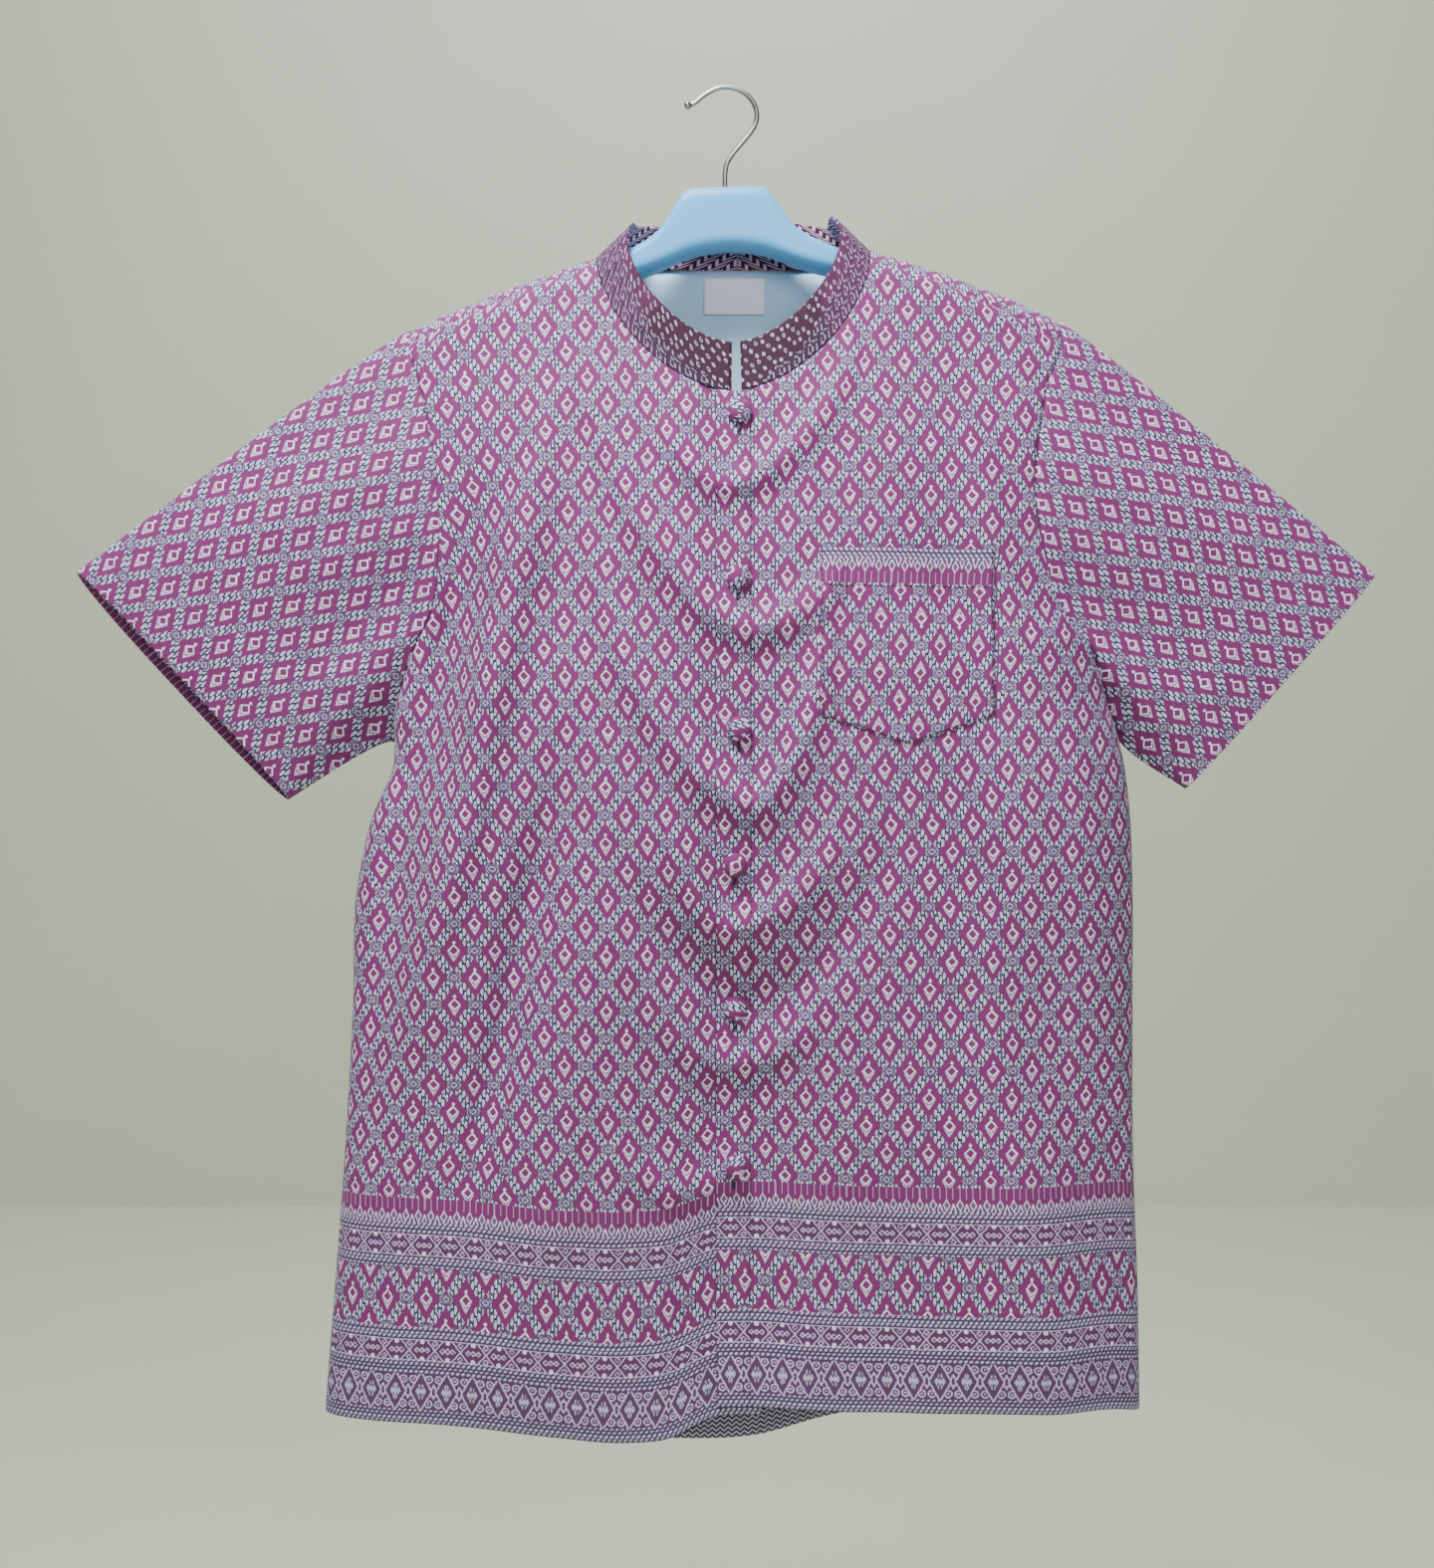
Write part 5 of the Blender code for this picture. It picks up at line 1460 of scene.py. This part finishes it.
def tree_of(name):
    """A tree of a sheet's outer face, for laying pieces on it."""
    bm = bmesh.new()
    bm.from_mesh(bpy.data.objects[name].data)
    bmesh.ops.scale(bm, vec=(1 / MM, 1 / MM, 1 / MM), verts=bm.verts[:])
    tree = BVHTree.FromBMesh(bm)
    bm.free()
    return tree


def on_cloth(tree, x, z, from_y):
    """The first cloth that a line along +Y meets, and its normal."""
    place, normal, _, _ = tree.ray_cast(Vector((x, from_y, z)), Vector((0, 1, 0)))
    return place, normal if normal.y < 0 else -normal


def pocket_low(x):
    middle = (POCKET_LEFT + POCKET_RIGHT) / 2
    share = 1 - abs(x - middle) / (middle - POCKET_LEFT)
    return POCKET_CORNER + (POCKET_POINT - POCKET_CORNER) * share


class MESH_OT_shirt_pocket(bpy.types.Operator):
    """Model the patch pocket with its stitching"""

    bl_idname = "mesh.shirt_pocket"
    bl_label = "Patch Pocket"

    def execute(self, context):
        cloth = context.scene.shirt_cloth
        tree = tree_of("left_front")
        wall = cloth.thickness / MM
        rows = []
        for v in np.linspace(0, 1, POCKET_ROWS + 1):
            row = []
            for x in np.linspace(POCKET_LEFT, POCKET_RIGHT, POCKET_COLUMNS + 1):
                z = POCKET_TOP + (pocket_low(x) - POCKET_TOP) * v
                place, normal = on_cloth(tree, x, z, IN_FRONT)
                rim = min(x - POCKET_LEFT, POCKET_RIGHT - x, z - pocket_low(x))
                puff = POCKET_PUFF * ramp(rim / POCKET_PUFF_REACH) * math.sin(math.pi * v**0.7)
                lift = wall * POCKET_OFF + POCKET_EDGE_LIFT * ramp(rim / POCKET_EDGE) + puff
                row.append(place + normal * float(lift))
            rows.append(row)
        grid = np.array(rows)
        across = steps_along(grid, 1)
        down = steps_along(grid, 0)
        weave = np.dstack([across, POCKET_PATTERN_START + down])
        face = material_named("cotton brocade, woven", brocade)
        obj = sheet_object("patch_pocket", [grid], [weave], to_front, cloth.thickness, [face])
        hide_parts("pocket")
        pocket_tree = tree_of("patch_pocket")
        thread = material_named("plum sewing thread", sewing_thread)
        left = POCKET_LEFT + POCKET_STITCH_INSET
        right = POCKET_RIGHT - POCKET_STITCH_INSET
        middle = (POCKET_LEFT + POCKET_RIGHT) / 2
        top = POCKET_TOP - 1
        corner = POCKET_CORNER + POCKET_STITCH_INSET / 4
        point = (middle, POCKET_POINT + POCKET_STITCH_INSET)
        sides = [(left, top), (left, corner), point, (right, corner), (right, top)]
        band_z = POCKET_TOP - POCKET_BAND
        band = [(POCKET_LEFT + 1, band_z), (POCKET_RIGHT - 1, band_z)]
        for name, corners in (("pocket_stitches", sides), ("pocket_band_stitches", band)):
            corners = np.array(corners)
            at = along_ring(corners)
            path = []
            for share in np.linspace(0, 1, POCKET_STITCH_POINTS):
                x, z = (float(np.interp(share, at, corners[:, axis])) for axis in (0, 1))
                path.append(on_cloth(pocket_tree, x, z, IN_FRONT)[0])
            stitches(name, path, thread)
        cloth_sheet([grid])
        return {"FINISHED"}


class MESH_OT_shirt_label(bpy.types.Operator):
    """Model the bare neck label"""

    bl_idname = "mesh.shirt_label"
    bl_label = "Neck Label"

    def execute(self, context):
        cloth = context.scene.shirt_cloth
        tree = tree_of("back_panel")
        wall = cloth.thickness / MM
        rows = []
        for z in np.linspace(LABEL_TOP, LABEL_BOTTOM, LABEL_ROWS + 1):
            row = []
            for x in np.linspace(LABEL_LEFT, LABEL_RIGHT, LABEL_COLUMNS + 1):
                place, normal = on_cloth(tree, x, z, 0.0)
                hang = (LABEL_TOP - z) / (LABEL_TOP - LABEL_BOTTOM)
                row.append(place + normal * (wall + LABEL_GAP + LABEL_HANG * hang * hang))
            rows.append(row)
        grid = np.array(rows)
        weave = np.dstack([steps_along(grid, 1), steps_along(grid, 0)])
        satin = material_named("polyester label satin, woven", label_satin)
        obj = sheet_object("neck_label_satin", [grid], [weave], to_front, cloth.label_thickness, [satin])
        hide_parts("neck_label")
        cloth_sheet([grid])
        return {"FINISHED"}


class MESH_OT_shirt_buttons(bpy.types.Operator):
    """Model the six covered buttons and their buttonholes"""

    bl_idname = "mesh.shirt_buttons"
    bl_label = "Covered Buttons"

    def execute(self, context):
        tree = tree_of("left_front")
        face = material_named("cotton brocade, woven", brocade)
        thread = material_named("plum sewing thread", sewing_thread)
        for number, (x, z) in enumerate(BUTTONS, 1):
            place, normal = on_cloth(tree, x, z, IN_FRONT)
            obj = covered_button("covered_button_%d" % number, place, normal, number, face)
            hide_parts("button_%d" % number)
            drops = BUTTONHOLE_DROP + np.linspace(0, BUTTONHOLE_LENGTH, BUTTONHOLE_STITCHES)
            path = [on_cloth(tree, x, z - drop, IN_FRONT)[0] for drop in drops]
            bar = buttonhole("buttonhole_%d" % number, path, thread)
        return {"FINISHED"}


def covered_button(name, place, normal, number, material):
    """A dome of cloth pulled over a shell, square to the cloth it is sewn to."""
    bm = bmesh.new()
    profile = [bm.verts.new((radius, 0.0, height)) for radius, height in BUTTON_PROFILE]
    edges = [bm.edges.new(pair) for pair in zip(profile, profile[1:])]
    bmesh.ops.spin(
        bm, geom=profile + edges, cent=(0, 0, 0), axis=(0, 0, 1), angle=2 * math.pi,
        steps=BUTTON_SIDES, use_merge=True,
    )
    bmesh.ops.remove_doubles(bm, verts=bm.verts[:], dist=0.001)
    rims = [edge for edge in bm.edges if edge.is_boundary]
    for height, tip in ((BUTTON_PROFILE[0][1], BUTTON_PROFILE[0][1]), (BUTTON_PROFILE[-1][1], BUTTON_TOP)):
        rim = [edge for edge in rims if abs(edge.verts[0].co.z - height) < 0.01]
        cap = bmesh.ops.edgeloop_fill(bm, edges=rim)["faces"]
        for vert in bmesh.ops.poke(bm, faces=cap)["verts"]:
            vert.co.z = tip
    bmesh.ops.recalc_face_normals(bm, faces=bm.faces[:])
    layer = bm.verts.layers.float_vector.new("weave")
    cut = Matrix.Rotation(number * BUTTON_CUT_TURN, 2)
    start = Vector((number * BUTTON_CUT_ACROSS, BUTTON_PATTERN_START + number * BUTTON_CUT_UP))
    for vert in bm.verts:
        vert[layer] = (*(cut @ vert.co.to_2d() + start), 0)
    turn = Vector((0, 0, 1)).rotation_difference(normal).to_matrix().to_4x4()
    bmesh.ops.transform(bm, matrix=Matrix.Translation(place + normal * BUTTON_GAP) @ turn, verts=bm.verts[:])
    bmesh.ops.scale(bm, vec=(MM, MM, MM), verts=bm.verts[:])
    return object_of(name, bm, [material])


def buttonhole(name, path, material):
    """The lower end of a sewn buttonhole: close stitches across a slit, seen below the button."""
    bm = bmesh.new()
    for place in path:
        for side in (-BUTTONHOLE_SIDE, BUTTONHOLE_SIDE):
            spot = Matrix.Translation(place + Vector((side, -BUTTONHOLE_PROUD, 0)))
            sewn_stitch(bm, spot, BUTTONHOLE_STITCH)
    bmesh.ops.scale(bm, vec=(MM, MM, MM), verts=bm.verts[:])
    return object_of(name, bm, [material])


def bridged(name, rings, material, tilt=0.0):
    """A closed body through rings of points in millimetres, capped at both ends, then tilted."""
    bm = bmesh.new()
    loops = []
    for ring in rings:
        verts = [bm.verts.new(point) for point in ring]
        loops.append([bm.edges.new((a, b)) for a, b in zip(verts, verts[1:] + verts[:1])])
    for one, other in zip(loops, loops[1:]):
        bmesh.ops.bridge_loops(bm, edges=one + other)
    for loop in (loops[0], loops[-1]):
        bmesh.ops.edgeloop_fill(bm, edges=loop)
    bmesh.ops.recalc_face_normals(bm, faces=bm.faces[:])
    if tilt:
        turn = Matrix.Rotation(-tilt, 3, "Y")
        bmesh.ops.rotate(bm, cent=(0, 0, HANGER_PIVOT_Z), matrix=turn, verts=bm.verts[:])
    bmesh.ops.scale(bm, vec=(MM, MM, MM), verts=bm.verts[:])
    return object_of(name, bm, [material])


class MESH_OT_shirt_hanger(bpy.types.Operator):
    """Model the moulded hanger and its wire hook"""

    bl_idname = "mesh.shirt_hanger"
    bl_label = "Coat Hanger"

    def execute(self, context):
        stations = np.array(HANGER_STATIONS, float)
        reach = stations[-1, 0]
        rings = []
        for share in np.linspace(-1, 1, HANGER_STEPS + 1):
            crowded = math.sin(share * math.pi / 2)
            x = reach * crowded * HANGER_CROWDING + reach * share * (1 - HANGER_CROWDING)
            sizes = (np.interp(abs(x), stations[:, 0], values) for values in stations.T[1:])
            top, under, thick, square = sizes
            ring = []
            for k in range(HANGER_SIDES):
                angle = 2 * math.pi * (k + 0.5) / HANGER_SIDES
                c, s = math.cos(angle), math.sin(angle)
                y = thick * math.copysign(abs(c) ** (2 / square), c)
                z = (top + under) / 2 + (top - under) / 2 * math.copysign(abs(s) ** (2 / square), s)
                ring.append((x, y, z))
            rings.append(ring)
        plastic = material_named("polypropylene, injection moulded", hanger_plastic)
        obj = bridged("moulded_hanger", rings, plastic, HANGER_TILT)
        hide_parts("hanger")
        path = np.array(HOOK)
        keys = np.arange(len(path))
        at = np.linspace(0, len(path) - 1, WIRE_STEPS)
        path = np.column_stack([smooth(at, keys, path[:, axis]) for axis in (0, 1)])
        rings = []
        for i, (x, z) in enumerate(path):
            ahead = path[min(i + 1, len(path) - 1)] - path[max(i - 1, 0)]
            ahead = ahead / np.linalg.norm(ahead)
            ball = max(0.0, 1 - ((at[i] - HOOK_BALL_AT) / HOOK_BALL_REACH) ** 2)
            tip = min(1, at[i] / WIRE_TIP_REACH + WIRE_TIP_SHARE)
            radius = max(WIRE_RADIUS * tip, HOOK_BALL_RADIUS * math.sqrt(ball))
            ring = []
            for k in range(WIRE_SIDES):
                angle = 2 * math.pi * k / WIRE_SIDES
                out = radius * math.cos(angle)
                ring.append((x + ahead[1] * out, radius * math.sin(angle), z - ahead[0] * out))
            rings.append(ring)
        steel = material_named("nickel plated steel, drawn wire", hook_steel)
        obj = bridged("wire_hook", rings, steel)
        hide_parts("hanger_hook")
        return {"FINISHED"}


class MESH_OT_shirt_stitching(bpy.types.Operator):
    """Sew the line of topstitching down the placket"""

    bl_idname = "mesh.shirt_stitching"
    bl_label = "Topstitching"

    def execute(self, context):
        tree = tree_of("left_front")
        thread = material_named("plum sewing thread", sewing_thread)
        heights = np.linspace(PLACKET_TOP, PLACKET_BOTTOM, PLACKET_POINTS)
        path = [on_cloth(tree, PLACKET_X, z, IN_FRONT)[0] for z in heights]
        obj = stitches("placket_stitches", path, thread)
        return {"FINISHED"}


class SCENE_OT_shirt_stage(bpy.types.Operator):
    """Set the floor, the backdrop, the lights and the camera"""

    bl_idname = "scene.shirt_stage"
    bl_label = "Studio Stage"

    def execute(self, context):
        colours = context.scene.shirt_colours
        material, tree, shader = new_material("painted studio board")
        place = add_node(tree, "ShaderNodeTexCoord")
        noise = add_node(
            tree, "ShaderNodeTexNoise", None, {"Vector": place.outputs["Object"], "Scale": 1.5, "Detail": 3.0}
        )
        colour = add_node(
            tree, "ShaderNodeMix", {"data_type": "RGBA"},
            {0: noise.outputs[0], 6: linear(colours.wall_shade), 7: linear(colours.wall)},
        )
        tree.links.new(colour.outputs[2], shader.inputs["Base Color"])
        shader.inputs["Roughness"].default_value = 0.9
        for name, place, turn in (
            ("studio_floor", (0, 0, FLOOR_Z), 0),
            ("studio_backdrop", (0, BACKDROP_Y, BACKDROP_Z), math.pi / 2),
        ):
            bm = bmesh.new()
            bmesh.ops.create_grid(bm, x_segments=2, y_segments=2, size=STAGE_SIZE)
            matrix = Matrix.Translation(place) @ Matrix.Rotation(turn, 4, "X")
            bmesh.ops.transform(bm, matrix=matrix, verts=bm.verts[:])
            mesh = bpy.data.meshes.new(name)
            bm.to_mesh(mesh)
            bm.free()
            mesh.materials.append(material)
            obj = bpy.data.objects.new(name, mesh)
            context.scene.collection.objects.link(obj)
        for name, place, size, power, aim_y in LIGHTS:
            lamp = bpy.data.lights.new(name, "AREA")
            lamp.size = size
            lamp.energy = power
            lamp.color = linear(colours.lamp)[:3]
            light = bpy.data.objects.new(name, lamp)
            light.location = place
            aim = Vector((0, aim_y, LIGHT_AIM_Z)) - Vector(place)
            light.rotation_euler = aim.to_track_quat("-Z", "Y").to_euler()
            context.scene.collection.objects.link(light)
        world = bpy.data.worlds.new("studio")
        world.use_nodes = True
        background = world.node_tree.nodes["Background"]
        background.inputs["Color"].default_value = linear(colours.daylight)
        background.inputs["Strength"].default_value = WORLD_STRENGTH
        context.scene.world = world
        camera = bpy.data.cameras.new("camera")
        camera.lens = CAMERA_LENS
        camera.sensor_width = CAMERA_SENSOR
        view = bpy.data.objects.new("camera", camera)
        view.location = CAMERA_PLACE
        view.rotation_euler = (math.pi / 2, 0, 0)
        context.scene.collection.objects.link(view)
        context.scene.camera = view
        return {"FINISHED"}


class VIEW3D_PT_shirt(bpy.types.Panel):
    """Lists the shirt's sizes, colours and pieces"""

    bl_idname = "VIEW3D_PT_shirt"
    bl_label = "Mandarin Collar Shirt"
    bl_space_type = "VIEW_3D"
    bl_region_type = "UI"
    bl_category = "Shirt"

    def draw(self, context):
        layout = self.layout
        for group in (context.scene.shirt_cloth, context.scene.shirt_pattern, context.scene.shirt_colours):
            box = layout.box()
            for name in group.__annotations__:
                box.prop(group, name)
        for operator in OPERATORS:
            layout.operator(operator.bl_idname)


SETTINGS = (ClothSettings, ColourSettings, PatternSettings)
OPERATORS = (
    MESH_OT_shirt_hanger,
    MESH_OT_shirt_body,
    MESH_OT_shirt_sleeves,
    MESH_OT_shirt_collar,
    MESH_OT_shirt_pocket,
    MESH_OT_shirt_label,
    MESH_OT_shirt_buttons,
    MESH_OT_shirt_stitching,
    SCENE_OT_shirt_stage,
)


def register():
    for group in (*SETTINGS, *OPERATORS, VIEW3D_PT_shirt):
        bpy.utils.register_class(group)
    bpy.types.Scene.shirt_cloth = bpy.props.PointerProperty(type=ClothSettings)
    bpy.types.Scene.shirt_colours = bpy.props.PointerProperty(type=ColourSettings)
    bpy.types.Scene.shirt_pattern = bpy.props.PointerProperty(type=PatternSettings)


def unregister():
    del bpy.types.Scene.shirt_pattern
    del bpy.types.Scene.shirt_colours
    del bpy.types.Scene.shirt_cloth
    for group in (VIEW3D_PT_shirt, *OPERATORS[::-1], *SETTINGS[::-1]):
        bpy.utils.unregister_class(group)


def main():
    register()
    bpy.ops.mesh.shirt_hanger()
    bpy.ops.mesh.shirt_body()
    bpy.ops.mesh.shirt_sleeves()
    bpy.ops.mesh.shirt_collar()
    bpy.ops.mesh.shirt_pocket()
    bpy.ops.mesh.shirt_label()
    bpy.ops.mesh.shirt_buttons()
    bpy.ops.mesh.shirt_stitching()
    bpy.ops.scene.shirt_stage()
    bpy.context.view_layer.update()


if __name__ == "__main__":
    main()
